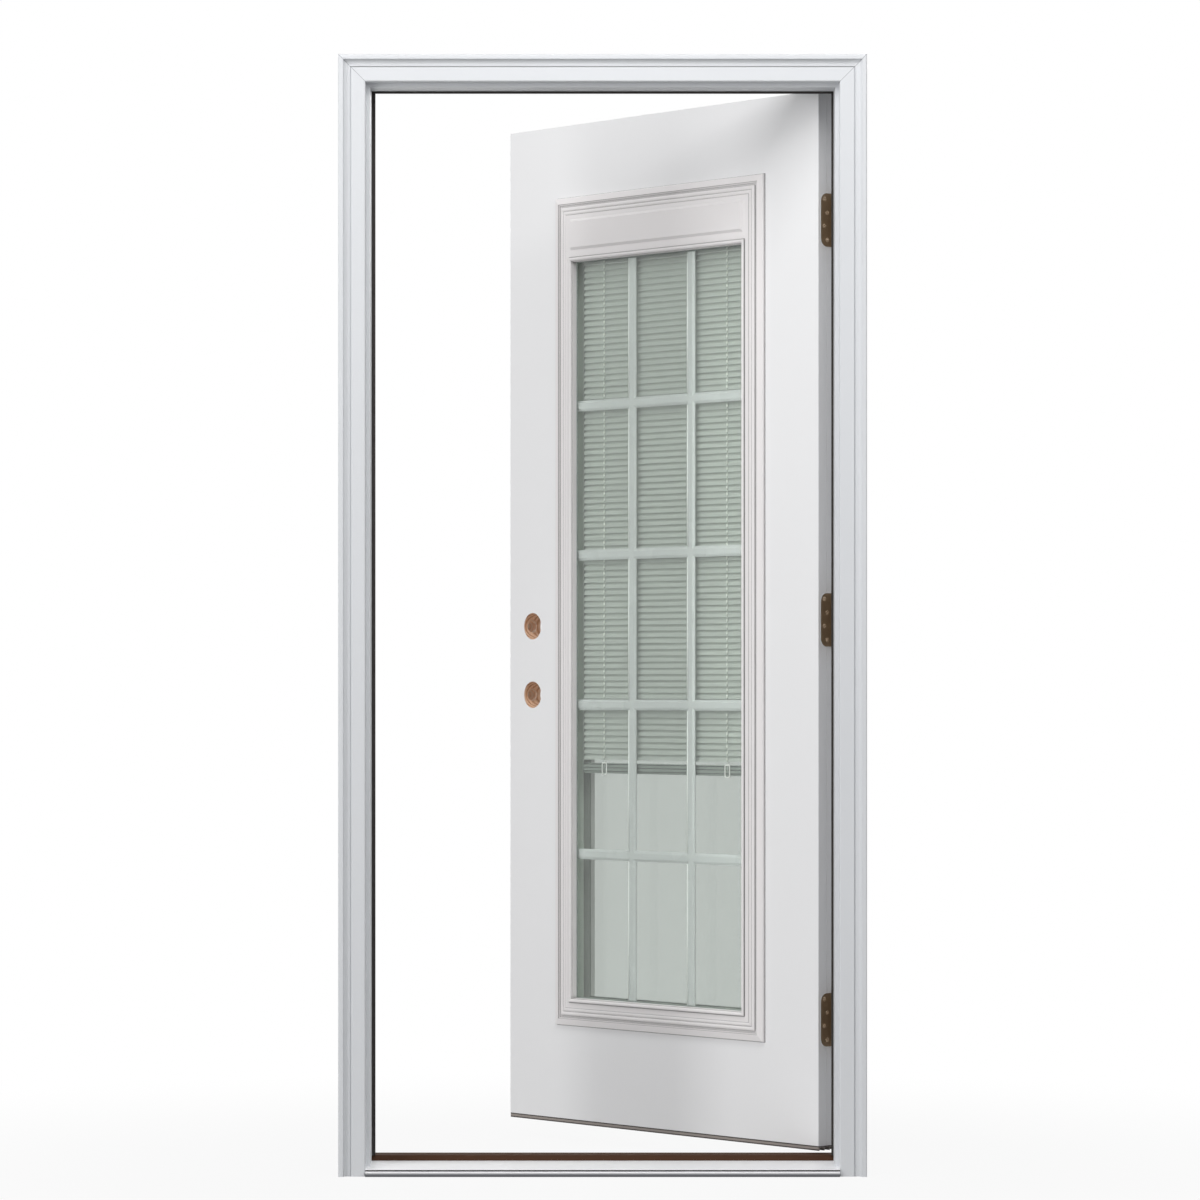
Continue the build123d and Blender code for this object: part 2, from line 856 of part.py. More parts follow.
# Grille: contoured flat bars that cross behind the outer pane and end on the spacer.
def bar_section():
    """Contoured section of a grille bar, across it and through its thickness."""
    half = grille_bar / 2
    land = half - grille_shoulder
    step = grille_edge
    middle = grille_thickness / 2
    corners = [(land, -middle), (half, -middle + step), (half, middle - step), (land, middle)]
    mirrored = [(-x, y) for x, y in reversed(corners)]
    with BuildSketch() as section:
        with BuildLine():
            Polyline(*corners, *mirrored, close=True)
        make_face()
    return section.sketch


bar_depth = grille_depth + grille_thickness / 2
column_pitch = (2 * opening_half + grille_bar) / grille_columns
row_pitch = (opening_top - opening_bottom + grille_bar) / grille_rows
cavity_half = spacer_half - spacer_width
cavity_low = spacer_bottom + spacer_width
grille_middle = (opening_bottom + opening_top) / 2

with BuildPart() as grille:
    for count in range(grille_columns - 1):
        x = (count - (grille_columns - 2) / 2) * column_pitch
        base = Plane(origin=leaf_point(x, bar_depth, cavity_low), x_dir=leaf_axes.x_dir, z_dir=(0, 0, 1))
        with BuildSketch(base):
            add(bar_section())
        extrude(amount=cavity_top - cavity_low)
    for count in range(grille_rows - 1):
        z = grille_middle + (count - (grille_rows - 2) / 2) * row_pitch
        end = leaf_point(-cavity_half, bar_depth, z)
        base = Plane(origin=end, x_dir=(0, 0, 1), z_dir=leaf_axes.x_dir)
        with BuildSketch(base):
            add(bar_section())
        extrude(amount=2 * cavity_half)
save(grille, "grille")

# Blind: a headrail under the spacer, tilted slats on two ladders and a bottom rail.
slat_length = 2 * (opening_half - slat_end_gap)
ladder_spacing = slat_length - 2 * ladder_inset
blind_rail_bottom = opening_bottom + blind_lift
headrail_bottom = cavity_top - headrail_height
blind_rail_top = blind_rail_bottom + blind_rail_height
slat_room = headrail_bottom - blind_rail_top - slat_pitch
slat_count = int(slat_room / slat_pitch)
slat_reach = slat_width / 2 * cos(radians(slat_tilt)) + slat_sheet * sin(radians(slat_tilt))
ladder_foot = blind_rail_bottom + blind_rail_height / 2


def slat_section():
    """Crowned section of a slat, tilted with its outer edge down."""
    half = slat_width / 2
    with BuildSketch() as section:
        with BuildLine():
            Polyline(
                (-half, 0),
                (0, slat_crown),
                (half, 0),
                (half, slat_sheet),
                (0, slat_crown + slat_sheet),
                (-half, slat_sheet),
                close=True,
            )
        make_face()
    return section.sketch.rotate(Axis.Z, slat_tilt)


with BuildPart() as blind_headrail:
    with BuildSketch(outer_plane(blind_depth - headrail_depth / 2)):
        with Locations((0, headrail_bottom)):
            Rectangle(slat_length, headrail_height, align=(Align.CENTER, Align.MIN))
    extrude(amount=-headrail_depth)
save(blind_headrail, "blind_headrail")

with BuildPart() as blind_slats:
    base = Plane(
        origin=leaf_point(-slat_length / 2, blind_depth, blind_rail_top),
        x_dir=leaf_axes.y_dir,
        z_dir=leaf_axes.x_dir,
    )
    with BuildSketch(base):
        with Locations(*[(0, (count + 1) * slat_pitch) for count in range(slat_count)]):
            add(slat_section())
    extrude(amount=slat_length)
save(blind_slats, "blind_slats")

with BuildPart() as blind_ladders:
    with BuildSketch(plan_plane(ladder_foot)):
        for x in (-ladder_spacing / 2, ladder_spacing / 2):
            for side in (-1, 1):
                with Locations((x, blind_depth + side * (slat_reach + ladder_gap + ladder_size / 2))):
                    Rectangle(ladder_size, ladder_size)
    extrude(amount=headrail_bottom - ladder_foot)
save(blind_ladders, "blind_ladders")

with BuildPart() as blind_bottom_rail:
    with BuildSketch(Plane(
        origin=leaf_point(-slat_length / 2, blind_depth, ladder_foot),
        x_dir=leaf_axes.y_dir,
        z_dir=leaf_axes.x_dir,
    )):
        RectangleRounded(blind_rail_depth, blind_rail_height, blind_rail_corner)
    extrude(amount=slat_length)
save(blind_bottom_rail, "blind_bottom_rail")

# Blind operator: a track and its slider on the inner lite frame, on the lock side.
operator_x = lite_width / 2 - operator_inset - operator_width / 2

with BuildPart() as operator_track:
    with BuildSketch(inner_plane(-field_height)):
        with Locations((operator_x, lite_middle)):
            RectangleRounded(operator_width, operator_length, operator_corner)
    extrude(amount=operator_rise)
save(operator_track, "blind_operator_track")

with BuildPart() as operator_slider:
    with BuildSketch(inner_plane(-field_height - operator_rise)):
        with Locations((operator_x, lite_middle + operator_length / 2 - slider_length)):
            RectangleRounded(operator_width, slider_length, operator_corner)
    extrude(amount=slider_rise)
    outward = Axis(leaf_point(0, 0, 0), leaf_axes.y_dir)
    chamfer(operator_slider.faces().sort_by(outward)[-1].edges(), slider_bevel)
save(operator_slider, "blind_operator_slider")
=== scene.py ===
"""Looks of a prehung steel front door: finishes, small hardware, studio and camera.

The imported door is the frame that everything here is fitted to. Lengths are written in
millimetres, and `metres` turns them into the scene's metres. The door's own axes are
+X toward the hinges, +Y into the house and +Z up. The leaf stands open on its pins, so
its small pieces are worked out in the leaf's axes and then turned with it.
"""

import logging
import math
from dataclasses import dataclass
from enum import Enum
from functools import cache
from typing import Any, Sequence

import bmesh
import bpy
import numpy as np
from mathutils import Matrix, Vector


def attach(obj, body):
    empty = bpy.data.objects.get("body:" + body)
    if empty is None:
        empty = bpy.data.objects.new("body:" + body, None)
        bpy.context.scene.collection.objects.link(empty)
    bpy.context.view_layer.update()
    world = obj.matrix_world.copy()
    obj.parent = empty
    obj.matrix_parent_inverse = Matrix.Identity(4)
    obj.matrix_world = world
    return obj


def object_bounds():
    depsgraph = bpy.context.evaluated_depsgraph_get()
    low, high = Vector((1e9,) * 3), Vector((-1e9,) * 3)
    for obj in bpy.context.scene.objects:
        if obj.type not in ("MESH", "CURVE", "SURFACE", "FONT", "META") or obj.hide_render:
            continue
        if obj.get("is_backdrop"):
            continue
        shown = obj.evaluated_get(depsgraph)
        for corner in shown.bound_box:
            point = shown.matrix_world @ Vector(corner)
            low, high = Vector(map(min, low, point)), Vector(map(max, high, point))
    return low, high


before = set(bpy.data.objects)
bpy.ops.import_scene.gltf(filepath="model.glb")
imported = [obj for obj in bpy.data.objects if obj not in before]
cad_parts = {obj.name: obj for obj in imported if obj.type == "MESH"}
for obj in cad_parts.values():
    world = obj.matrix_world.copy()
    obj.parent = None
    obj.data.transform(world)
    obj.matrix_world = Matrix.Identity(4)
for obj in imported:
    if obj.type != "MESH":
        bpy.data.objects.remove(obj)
cad_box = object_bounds()
log = logging.getLogger("front_door")

Colour = tuple[float, float, float, float]
Array = np.ndarray


def metres(length: float | Array) -> float | Array:
    """A length, or an array of them, in metres from millimetres."""
    return length / 1000.0


def shade(red: int, green: int, blue: int) -> Colour:
    """A linear colour from the three 8-bit display values.

    Args:
        red: display value of red, 0 to 255.
        green: display value of green, 0 to 255.
        blue: display value of blue, 0 to 255.

    Returns:
        The linear colour with full alpha: ((v + 0.055) / 1.055) to the power 2.4.
    """
    linear = [((v / 255 + 0.055) / 1.055) ** 2.4 for v in (red, green, blue)]
    return (linear[0], linear[1], linear[2], 1.0)


class Body(Enum):
    """The two bodies that pieces ride on."""

    FRAME = "frame"
    LEAF = "leaf"


class Face(Enum):
    """The two faces of the leaf, with the sign of their outward depth."""

    EXTERIOR = -1
    INTERIOR = 1


@dataclass(frozen=True)
class LeafAxes:
    """Axes of the open leaf: its pin line, its angle and where its outer face lies."""

    pin_x: float = 454.62
    pin_y: float = 128.5875
    angle: float = 48.5
    half_width: float = 452.12
    edge_gap: float = 5.0
    standoff: float = 12.7
    thickness: float = 44.45

    def place(self, across: Array, depth: Array, up: Array) -> Array:
        """Points of the leaf in the door's axes, in metres.

        With A = across - half_width - edge_gap / 2 and B = depth - standoff - thickness,
        X = pin_x + A cos a + B sin a, Y = pin_y - A sin a + B cos a and Z = up.

        Args:
            across: distance toward the hinge edge from the leaf's middle.
            depth: distance inward from the leaf's outer face.
            up: height above the ground.

        Returns:
            An array with x, y and z on its last axis.
        """
        turn = math.radians(self.angle)
        a = across - self.half_width - self.edge_gap / 2
        b = depth - self.standoff - self.thickness
        x = self.pin_x + a * math.cos(turn) + b * math.sin(turn)
        y = self.pin_y - a * math.sin(turn) + b * math.cos(turn)
        x, y, up = np.broadcast_arrays(x, y, up)
        return metres(np.stack((x, y, up), axis=-1))

    def on_face(self, face: Face, across: Array, height: Array, up: Array) -> Array:
        """Points at a height off one face of the leaf, in metres."""
        if face is Face.EXTERIOR:
            return self.place(across, -height, up)
        return self.place(across, self.thickness + height, up)


LEAF = LeafAxes()
MOULD_OUTER = 495.42
MOULD_TOP = 2103.4
MITRE_RISE = metres(MOULD_TOP - MOULD_OUTER)
MITRE_HALF = metres(0.45)
MITRE_FILLER = shade(150, 152, 156)


def surface(name: str, points: Array, wrap: bool = False, smooth: bool = True) -> bpy.types.Object:
    """A mesh of four-sided faces over a grid of points.

    Args:
        name: name of the object.
        points: array of rows by columns by 3, in metres.
        wrap: joins the last column to the first.
        smooth: shades the faces smooth.

    Returns:
        The new object, linked to the scene.
    """
    rows, columns = points.shape[:2]
    return mesh_object(name, points.reshape(-1, 3), grid_faces(rows, columns, wrap), smooth)


def mesh_object(name: str, points: Array, faces: Array, smooth: bool) -> bpy.types.Object:
    """An object from arrays of points and faces.

    Args:
        name: name of the object.
        points: array of n by 3, in metres.
        faces: array of m by 4 indices.
        smooth: shades the faces smooth.

    Returns:
        The new object, linked to the scene.
    """
    mesh = bpy.data.meshes.new(name)
    mesh.from_pydata(points.tolist(), [], faces.tolist())
    mesh.polygons.foreach_set("use_smooth", np.full(len(mesh.polygons), smooth))
    mesh.update()
    piece = bpy.data.objects.new(name, mesh)
    bpy.context.scene.collection.objects.link(piece)
    return piece


def flip_outward(piece: bpy.types.Object) -> None:
    """Turn a piece's faces outward, after its doubles are merged."""
    mesh = bmesh.new()
    mesh.from_mesh(piece.data)
    bmesh.ops.remove_doubles(mesh, verts=mesh.verts, dist=1e-6)
    bmesh.ops.recalc_face_normals(mesh, faces=mesh.faces)
    mesh.to_mesh(piece.data)
    mesh.free()


def gather(name: str, parts: Sequence[tuple[Array, Array]], smooth: bool = True) -> bpy.types.Object:
    """One object from several arrays of points and their faces, turned outward.

    Args:
        name: name of the object.
        parts: pairs of points (n by 3, metres) and faces (m by 4).
        smooth: shades the faces smooth.

    Returns:
        The new object.
    """
    points = np.concatenate([part[0] for part in parts])
    starts = np.cumsum([0] + [len(part[0]) for part in parts[:-1]])
    faces = np.concatenate([part[1] + start for part, start in zip(parts, starts)])
    piece = mesh_object(name, points, faces, smooth)
    flip_outward(piece)
    return piece


def grid_faces(rows: int, columns: int, wrap: bool) -> Array:
    """Faces over a grid of rows by columns, whose columns may wrap round.

    They join point (i, j) to (i, j + 1), (i + 1, j + 1) and (i + 1, j), worked out as
    whole arrays of indices.
    """
    index = np.arange(rows * columns).reshape(rows, columns)
    if wrap:
        index = np.concatenate((index, index[:, :1]), axis=1)
    faces = np.stack((index[:-1, :-1], index[:-1, 1:], index[1:, 1:], index[1:, :-1]), axis=-1)
    return faces.reshape(-1, 4)


def rod(points: Array) -> tuple[Array, Array]:
    """Sections set along a path, closed at both ends by a point at the end section's middle.

    Args:
        points: sections by points in each by 3, in metres, each section a closed ring.

    Returns:
        The points, n by 3, and their faces.
    """
    ends = points.mean(axis=1, keepdims=True)
    first = np.broadcast_to(ends[:1], points[:1].shape)
    last = np.broadcast_to(ends[-1:], points[:1].shape)
    closed = np.concatenate((first, points, last), axis=0)
    return closed.reshape(-1, 3), grid_faces(closed.shape[0], closed.shape[1], True)


def dome_rings(count: int, sectors: int) -> tuple[Array, Array]:
    """Radii from 0 out to 1 and back to 0 under the dome, and the angles round it."""
    radii = np.concatenate((np.linspace(0, 1, count), [1.0, 0.0]))[:, None]
    angles = np.linspace(0, 2 * np.pi, sectors, endpoint=False)[None, :]
    return radii, angles


class Graph:
    """A shader tree that is being wired."""

    def __init__(self, tree: bpy.types.NodeTree) -> None:
        """Start on an empty tree.

        Args:
            tree: the tree to fill.
        """
        self.tree = tree
        self.column = 0

    def add(self, kind: str, values: dict[str, Any] | None = None, **settings: Any) -> bpy.types.Node:
        """Add a node, set its own settings, and fill or join its inputs.

        Args:
            kind: the node's type.
            values: what goes into each named input, a plain value or another socket.
            settings: attributes of the node itself.

        Returns:
            The new node.
        """
        node = self.tree.nodes.new(kind)
        node.location = (self.column * 180, 0)
        self.column += 1
        for key, value in settings.items():
            setattr(node, key, value)
        for key, value in (values or {}).items():
            socket = self.enabled(node, key)
            if isinstance(value, bpy.types.NodeSocket):
                self.tree.links.new(value, socket)
            else:
                socket.default_value = value
        return node

    @staticmethod
    def enabled(node: bpy.types.Node, key: str) -> bpy.types.NodeSocket:
        """The input of that name in use, or of that number where the name is # and a number."""
        if key.startswith("#"):
            return node.inputs[int(key[1:])]
        return [s for s in node.inputs if s.name == key and s.enabled][0]

    @staticmethod
    def out(node: bpy.types.Node, key: str) -> bpy.types.NodeSocket:
        """The output of that name that the node's settings leave in use."""
        return [s for s in node.outputs if s.name == key and s.enabled][0]

    def maths(self, operation: str, first: Any, second: Any = 0.0) -> bpy.types.NodeSocket:
        """The result of one sum on two values or sockets."""
        node = self.add("ShaderNodeMath", {"#0": first, "#1": second}, operation=operation)
        return node.outputs[0]

    def ramp(self, value: Any, low: float, high: float, start: float, end: float) -> bpy.types.NodeSocket:
        """A value carried smoothly from the range low to high onto start to end."""
        node = self.add(
            "ShaderNodeMapRange",
            {"Value": value, "From Min": low, "From Max": high, "To Min": start, "To Max": end},
            interpolation_type="SMOOTHSTEP",
        )
        return node.outputs["Result"]

    def mix(self, share: Any, first: Any, second: Any) -> bpy.types.NodeSocket:
        """Two colours mixed by a share."""
        node = self.add(
            "ShaderNodeMix",
            {"Factor": share, "A": first, "B": second},
            data_type="RGBA",
        )
        return self.out(node, "Result")

    def noise(self, vector: Any, scale: Any, detail: float, rough: float) -> bpy.types.NodeSocket:
        """Smooth noise between 0 and 1."""
        node = self.add(
            "ShaderNodeTexNoise",
            {"Vector": vector, "Scale": scale, "Detail": detail, "Roughness": rough},
        )
        return node.outputs[0]

    def seen(self) -> bpy.types.NodeSocket:
        """1 where the camera, a reflection or clear glass looks at it, and 0 where it lights."""
        path = self.add("ShaderNodeLightPath")
        share = self.maths("MAXIMUM", path.outputs["Is Camera Ray"], path.outputs["Is Glossy Ray"])
        return self.maths("MAXIMUM", share, path.outputs["Is Transmission Ray"])


class Port(Enum):
    """Kinds of socket that an effect shows."""

    VALUE = "NodeSocketFloat"
    COLOUR = "NodeSocketColor"
    VECTOR = "NodeSocketVector"


class Effect(Enum):
    """Shared shader effects, each with the method that builds it."""

    MOTTLE = "mottle"
    MITRE_LINE = "mitre_line"
    FINE_GRAIN = "fine_grain"
    BRUSHING = "brushing"
    WOOD_FIGURE = "wood_figure"
    CREASE_GRIME = "crease_grime"
    RUBBED_PATCHES = "rubbed_patches"


class Effects:
    """Shader effects that several finishes share, each built once as a group."""

    def __init__(self) -> None:
        """Start with no group built."""
        self.groups: dict[Effect, bpy.types.NodeTree] = {}

    def shell(
        self, effect: Effect, inputs: dict[str, Port], outputs: dict[str, Port]
    ) -> tuple[Graph, bpy.types.Node, bpy.types.Node]:
        """An empty group with its sockets.

        Args:
            effect: the effect that the group makes.
            inputs: each input's kind.
            outputs: each output's kind.

        Returns:
            The graph, the group's input node and its output node.
        """
        tree = bpy.data.node_groups.new(effect.value, "ShaderNodeTree")
        for key, port in inputs.items():
            tree.interface.new_socket(key, in_out="INPUT", socket_type=port.value)
        for key, port in outputs.items():
            tree.interface.new_socket(key, in_out="OUTPUT", socket_type=port.value)
        graph = Graph(tree)
        source = graph.add("NodeGroupInput")
        sink = graph.add("NodeGroupOutput")
        self.groups[effect] = tree
        return graph, source, sink

    def place(self, graph: Graph, effect: Effect, values: dict[str, Any]) -> bpy.types.Node:
        """Put one effect in a material, building its group the first time.

        Args:
            graph: the material's graph.
            effect: the effect to put in.
            values: what goes into its inputs.

        Returns:
            The group node.
        """
        if effect not in self.groups:
            getattr(self, effect.value)()
        node = graph.tree.nodes.new("ShaderNodeGroup")
        node.node_tree = self.groups[effect]
        for key, value in values.items():
            if isinstance(value, bpy.types.NodeSocket):
                graph.tree.links.new(value, node.inputs[key])
            else:
                node.inputs[key].default_value = value
        return node

    def mottle(self) -> None:
        """Colour that drifts lighter and darker: colour x (1 + amount x (noise - 0.5) x 2)."""
        graph, source, sink = self.shell(
            Effect.MOTTLE,
            {"Vector": Port.VECTOR, "Color": Port.COLOUR, "Scale": Port.VALUE, "Amount": Port.VALUE},
            {"Color": Port.COLOUR, "Mask": Port.VALUE},
        )
        soft = graph.noise(source.outputs["Vector"], source.outputs["Scale"], 4.0, 0.6)
        centred = graph.maths("SUBTRACT", soft, 0.5)
        drift = graph.maths("MULTIPLY", centred, source.outputs["Amount"])
        doubled = graph.maths("MULTIPLY", drift, 2.0)
        factor = graph.maths("ADD", doubled, 1.0)
        scaled = graph.add(
            "ShaderNodeVectorMath", {"#0": source.outputs["Color"], "Scale": factor}, operation="SCALE"
        )
        graph.tree.links.new(scaled.outputs[0], sink.inputs["Color"])
        graph.tree.links.new(soft, sink.inputs["Mask"])

    def mitre_line(self) -> None:
        """Filler in two mitred corners: darker where |z - |x| - rise| / sqrt 2 is under half."""
        graph, source, sink = self.shell(
            Effect.MITRE_LINE,
            {"Vector": Port.VECTOR, "Color": Port.COLOUR, "Rise": Port.VALUE, "Half": Port.VALUE},
            {"Color": Port.COLOUR},
        )
        axes = graph.add("ShaderNodeSeparateXYZ", {"Vector": source.outputs["Vector"]})
        across = graph.maths("ABSOLUTE", axes.outputs["X"])
        above = graph.maths("SUBTRACT", axes.outputs["Z"], across)
        apart = graph.maths("ABSOLUTE", graph.maths("SUBTRACT", above, source.outputs["Rise"]))
        reach = graph.maths("MULTIPLY", source.outputs["Half"], math.sqrt(2))
        ratio = graph.maths("DIVIDE", apart, reach)
        share = graph.ramp(ratio, 0.8, 1.2, 0.85, 0.0)
        filled = graph.mix(share, source.outputs["Color"], MITRE_FILLER)
        graph.tree.links.new(filled, sink.inputs["Color"])

    def fine_grain(self) -> None:
        """Height of a fine moulded or sprayed surface: two sizes of noise added up."""
        graph, source, sink = self.shell(
            Effect.FINE_GRAIN,
            {"Vector": Port.VECTOR, "Scale": Port.VALUE},
            {"Height": Port.VALUE, "Mask": Port.VALUE},
        )
        coarse = graph.noise(source.outputs["Vector"], source.outputs["Scale"], 2.0, 0.5)
        finer = graph.maths("MULTIPLY", source.outputs["Scale"], 3.7)
        fine = graph.noise(source.outputs["Vector"], finer, 1.0, 0.5)
        small = graph.maths("MULTIPLY", fine, 0.4)
        height = graph.maths("ADD", coarse, small)
        graph.tree.links.new(height, sink.inputs["Height"])
        graph.tree.links.new(coarse, sink.inputs["Mask"])

    def brushing(self) -> None:
        """Lines of drawn or brushed metal: noise on coordinates pressed across the lines."""
        graph, source, sink = self.shell(
            Effect.BRUSHING,
            {"Vector": Port.VECTOR, "Scale": Port.VALUE},
            {"Height": Port.VALUE, "Mask": Port.VALUE},
        )
        lines = graph.noise(source.outputs["Vector"], source.outputs["Scale"], 3.0, 0.65)
        wide = graph.maths("MULTIPLY", source.outputs["Scale"], 0.12)
        bands = graph.noise(source.outputs["Vector"], wide, 2.0, 0.5)
        mask = graph.maths("MULTIPLY", lines, bands)
        graph.tree.links.new(lines, sink.inputs["Height"])
        graph.tree.links.new(mask, sink.inputs["Mask"])

    def wood_figure(self) -> None:
        """Grain of softwood: bands bent by noise, with fine pores along them."""
        graph, source, sink = self.shell(
            Effect.WOOD_FIGURE,
            {"Vector": Port.VECTOR, "Light": Port.COLOUR, "Dark": Port.COLOUR, "Scale": Port.VALUE},
            {"Color": Port.COLOUR, "Height": Port.VALUE},
        )
        bands = graph.add(
            "ShaderNodeTexWave",
            {
                "Vector": source.outputs["Vector"],
                "Scale": source.outputs["Scale"],
                "Distortion": 5.0,
                "Detail": 3.0,
                "Detail Scale": 1.4,
            },
            wave_type="RINGS",
            rings_direction="X",
        )
        pore_scale = graph.maths("MULTIPLY", source.outputs["Scale"], 14.0)
        pores = graph.noise(source.outputs["Vector"], pore_scale, 2.0, 0.6)
        share = graph.ramp(bands.outputs[1], 0.2, 0.9, 0.0, 1.0)
        ringed = graph.mix(share, source.outputs["Light"], source.outputs["Dark"])
        specked = graph.ramp(pores, 0.3, 0.7, 0.82, 1.06)
        toned = graph.add("ShaderNodeVectorMath", {"#0": ringed, "Scale": specked}, operation="SCALE")
        graph.tree.links.new(toned.outputs[0], sink.inputs["Color"])
        graph.tree.links.new(pores, sink.inputs["Height"])

    def crease_grime(self) -> None:
        """Painted shade that darkens grooves and inner corners: a share of colour x (1 - openness)."""
        graph, source, sink = self.shell(
            Effect.CREASE_GRIME,
            {"Color": Port.COLOUR, "Reach": Port.VALUE, "Amount": Port.VALUE},
            {"Color": Port.COLOUR, "Mask": Port.VALUE},
        )
        openness = graph.add(
            "ShaderNodeAmbientOcclusion",
            {"Distance": source.outputs["Reach"]},
            samples=8,
            only_local=True,
        )
        closed = graph.ramp(openness.outputs["AO"], 0.45, 0.98, 1.0, 0.0)
        share = graph.maths("MULTIPLY", closed, source.outputs["Amount"])
        keep = graph.maths("SUBTRACT", 1.0, share)
        darker = graph.add(
            "ShaderNodeVectorMath", {"#0": source.outputs["Color"], "Scale": keep}, operation="SCALE"
        )
        graph.tree.links.new(darker.outputs[0], sink.inputs["Color"])
        graph.tree.links.new(closed, sink.inputs["Mask"])

    def rubbed_patches(self) -> None:
        """Patches where a dark metal coating is rubbed thin: a mask from broken noise."""
        graph, source, sink = self.shell(
            Effect.RUBBED_PATCHES,
            {"Vector": Port.VECTOR, "Color": Port.COLOUR, "Bright": Port.COLOUR, "Scale": Port.VALUE},
            {"Color": Port.COLOUR, "Mask": Port.VALUE},
        )
        broad = graph.noise(source.outputs["Vector"], source.outputs["Scale"], 6.0, 0.7)
        mask = graph.ramp(broad, 0.52, 0.72, 0.0, 1.0)
        share = graph.maths("MULTIPLY", mask, 0.45)
        result = graph.mix(share, source.outputs["Color"], source.outputs["Bright"])
        graph.tree.links.new(result, sink.inputs["Color"])
        graph.tree.links.new(mask, sink.inputs["Mask"])


EFFECTS = Effects()


def new_material(name: str) -> tuple[bpy.types.Material, Graph, bpy.types.Node]:
    """An empty material with its output node.

    Args:
        name: name of the material.

    Returns:
        The material, its graph and its output node.
    """
    material = bpy.data.materials.new(name)
    material.use_nodes = True
    material.node_tree.nodes.clear()
    graph = Graph(material.node_tree)
    output = graph.add("ShaderNodeOutputMaterial")
    return material, graph, output


@dataclass(frozen=True)
class Paint:
    """Paint, moulded plastic or a factory coat, with a fine grain and a little drift."""

    name: str
    colour: Colour
    roughness: float = 0.45
    drift: float = 0.02
    drift_scale: float = 2.5
    grain_scale: float = 700.0
    grain_strength: float = 0.12
    coat: float = 0.0
    specular: float = 0.5
    # Painted shade in grooves and inner corners: its amount and its reach.
    painted_shade_amount: float = 0.0
    painted_shade_reach: float = 0.009
    mitre_rise: float = 0.0

    @cache
    def material(self) -> bpy.types.Material:
        """The paint's material, on Object coordinates."""
        material, graph, output = new_material(self.name)
        coords = graph.add("ShaderNodeTexCoord").outputs["Object"]
        drifted = EFFECTS.place(
            graph,
            Effect.MOTTLE,
            {"Vector": coords, "Color": self.colour, "Scale": self.drift_scale, "Amount": self.drift},
        )
        base = drifted.outputs["Color"]
        # Painted shade: ambient occlusion darkens the colour in grooves and inner corners.
        if self.painted_shade_amount > 0:
            crease_shaded = EFFECTS.place(
                graph,
                Effect.CREASE_GRIME,
                {"Color": base, "Reach": self.painted_shade_reach, "Amount": self.painted_shade_amount},
            )
            base = crease_shaded.outputs["Color"]
        if self.mitre_rise > 0:
            joined = EFFECTS.place(
                graph,
                Effect.MITRE_LINE,
                {"Vector": coords, "Color": base, "Rise": self.mitre_rise, "Half": MITRE_HALF},
            )
            base = joined.outputs["Color"]
        grain = EFFECTS.place(graph, Effect.FINE_GRAIN, {"Vector": coords, "Scale": self.grain_scale})
        spread = 0.06
        rough = graph.ramp(
            drifted.outputs["Mask"], 0.2, 0.8, self.roughness - spread, self.roughness + spread
        )
        bump = graph.add(
            "ShaderNodeBump",
            {"Strength": self.grain_strength, "Distance": 0.0004, "Height": grain.outputs["Height"]},
        )
        shader = graph.add(
            "ShaderNodeBsdfPrincipled",
            {
                "Base Color": base,
                "Roughness": rough,
                "Normal": bump.outputs["Normal"],
                "Coat Weight": self.coat,
                "Specular IOR Level": self.specular,
            },
        )
        graph.tree.links.new(shader.outputs[0], output.inputs["Surface"])
        return material


@dataclass(frozen=True)
class Ribbed:
    """Soft extruded vinyl with painted light and shade: a painted sheen along the middle of its height and
    painted shade at both edges.
    """

    name: str
    dark: Colour
    sheen_colour: Colour
    pitch: float = 0.0082
    sheen_height: float = 0.0405
    roughness: float = 0.5

    @cache
    def material(self) -> bpy.types.Material:
        """The vinyl's material: a painted sheen where cos(2 pi (z - sheen height) / pitch) is high, and
        painted shade where it is low.
        """
        material, graph, output = new_material(self.name)
        coords = graph.add("ShaderNodeTexCoord").outputs["Object"]
        axes = graph.add("ShaderNodeSeparateXYZ", {"Vector": coords})
        height = graph.maths("SUBTRACT", axes.outputs["Z"], self.sheen_height)
        phase = graph.maths("MULTIPLY", height, 2 * math.pi / self.pitch)
        wave = graph.maths("COSINE", phase)
        sheen_share = graph.ramp(wave, -0.5, 0.45, 0.0, 1.0)
        base = graph.mix(sheen_share, self.dark, self.sheen_colour)
        worn = EFFECTS.place(
            graph, Effect.MOTTLE, {"Vector": coords, "Color": base, "Scale": 14.0, "Amount": 0.12}
        )
        bump = graph.add("ShaderNodeBump", {"Strength": 0.5, "Distance": 0.0006, "Height": sheen_share})
        shader = graph.add(
            "ShaderNodeBsdfPrincipled",
            {
                "Base Color": worn.outputs["Color"],
                "Roughness": self.roughness,
                "Normal": bump.outputs["Normal"],
            },
        )
        graph.tree.links.new(shader.outputs[0], output.inputs["Surface"])
        return material


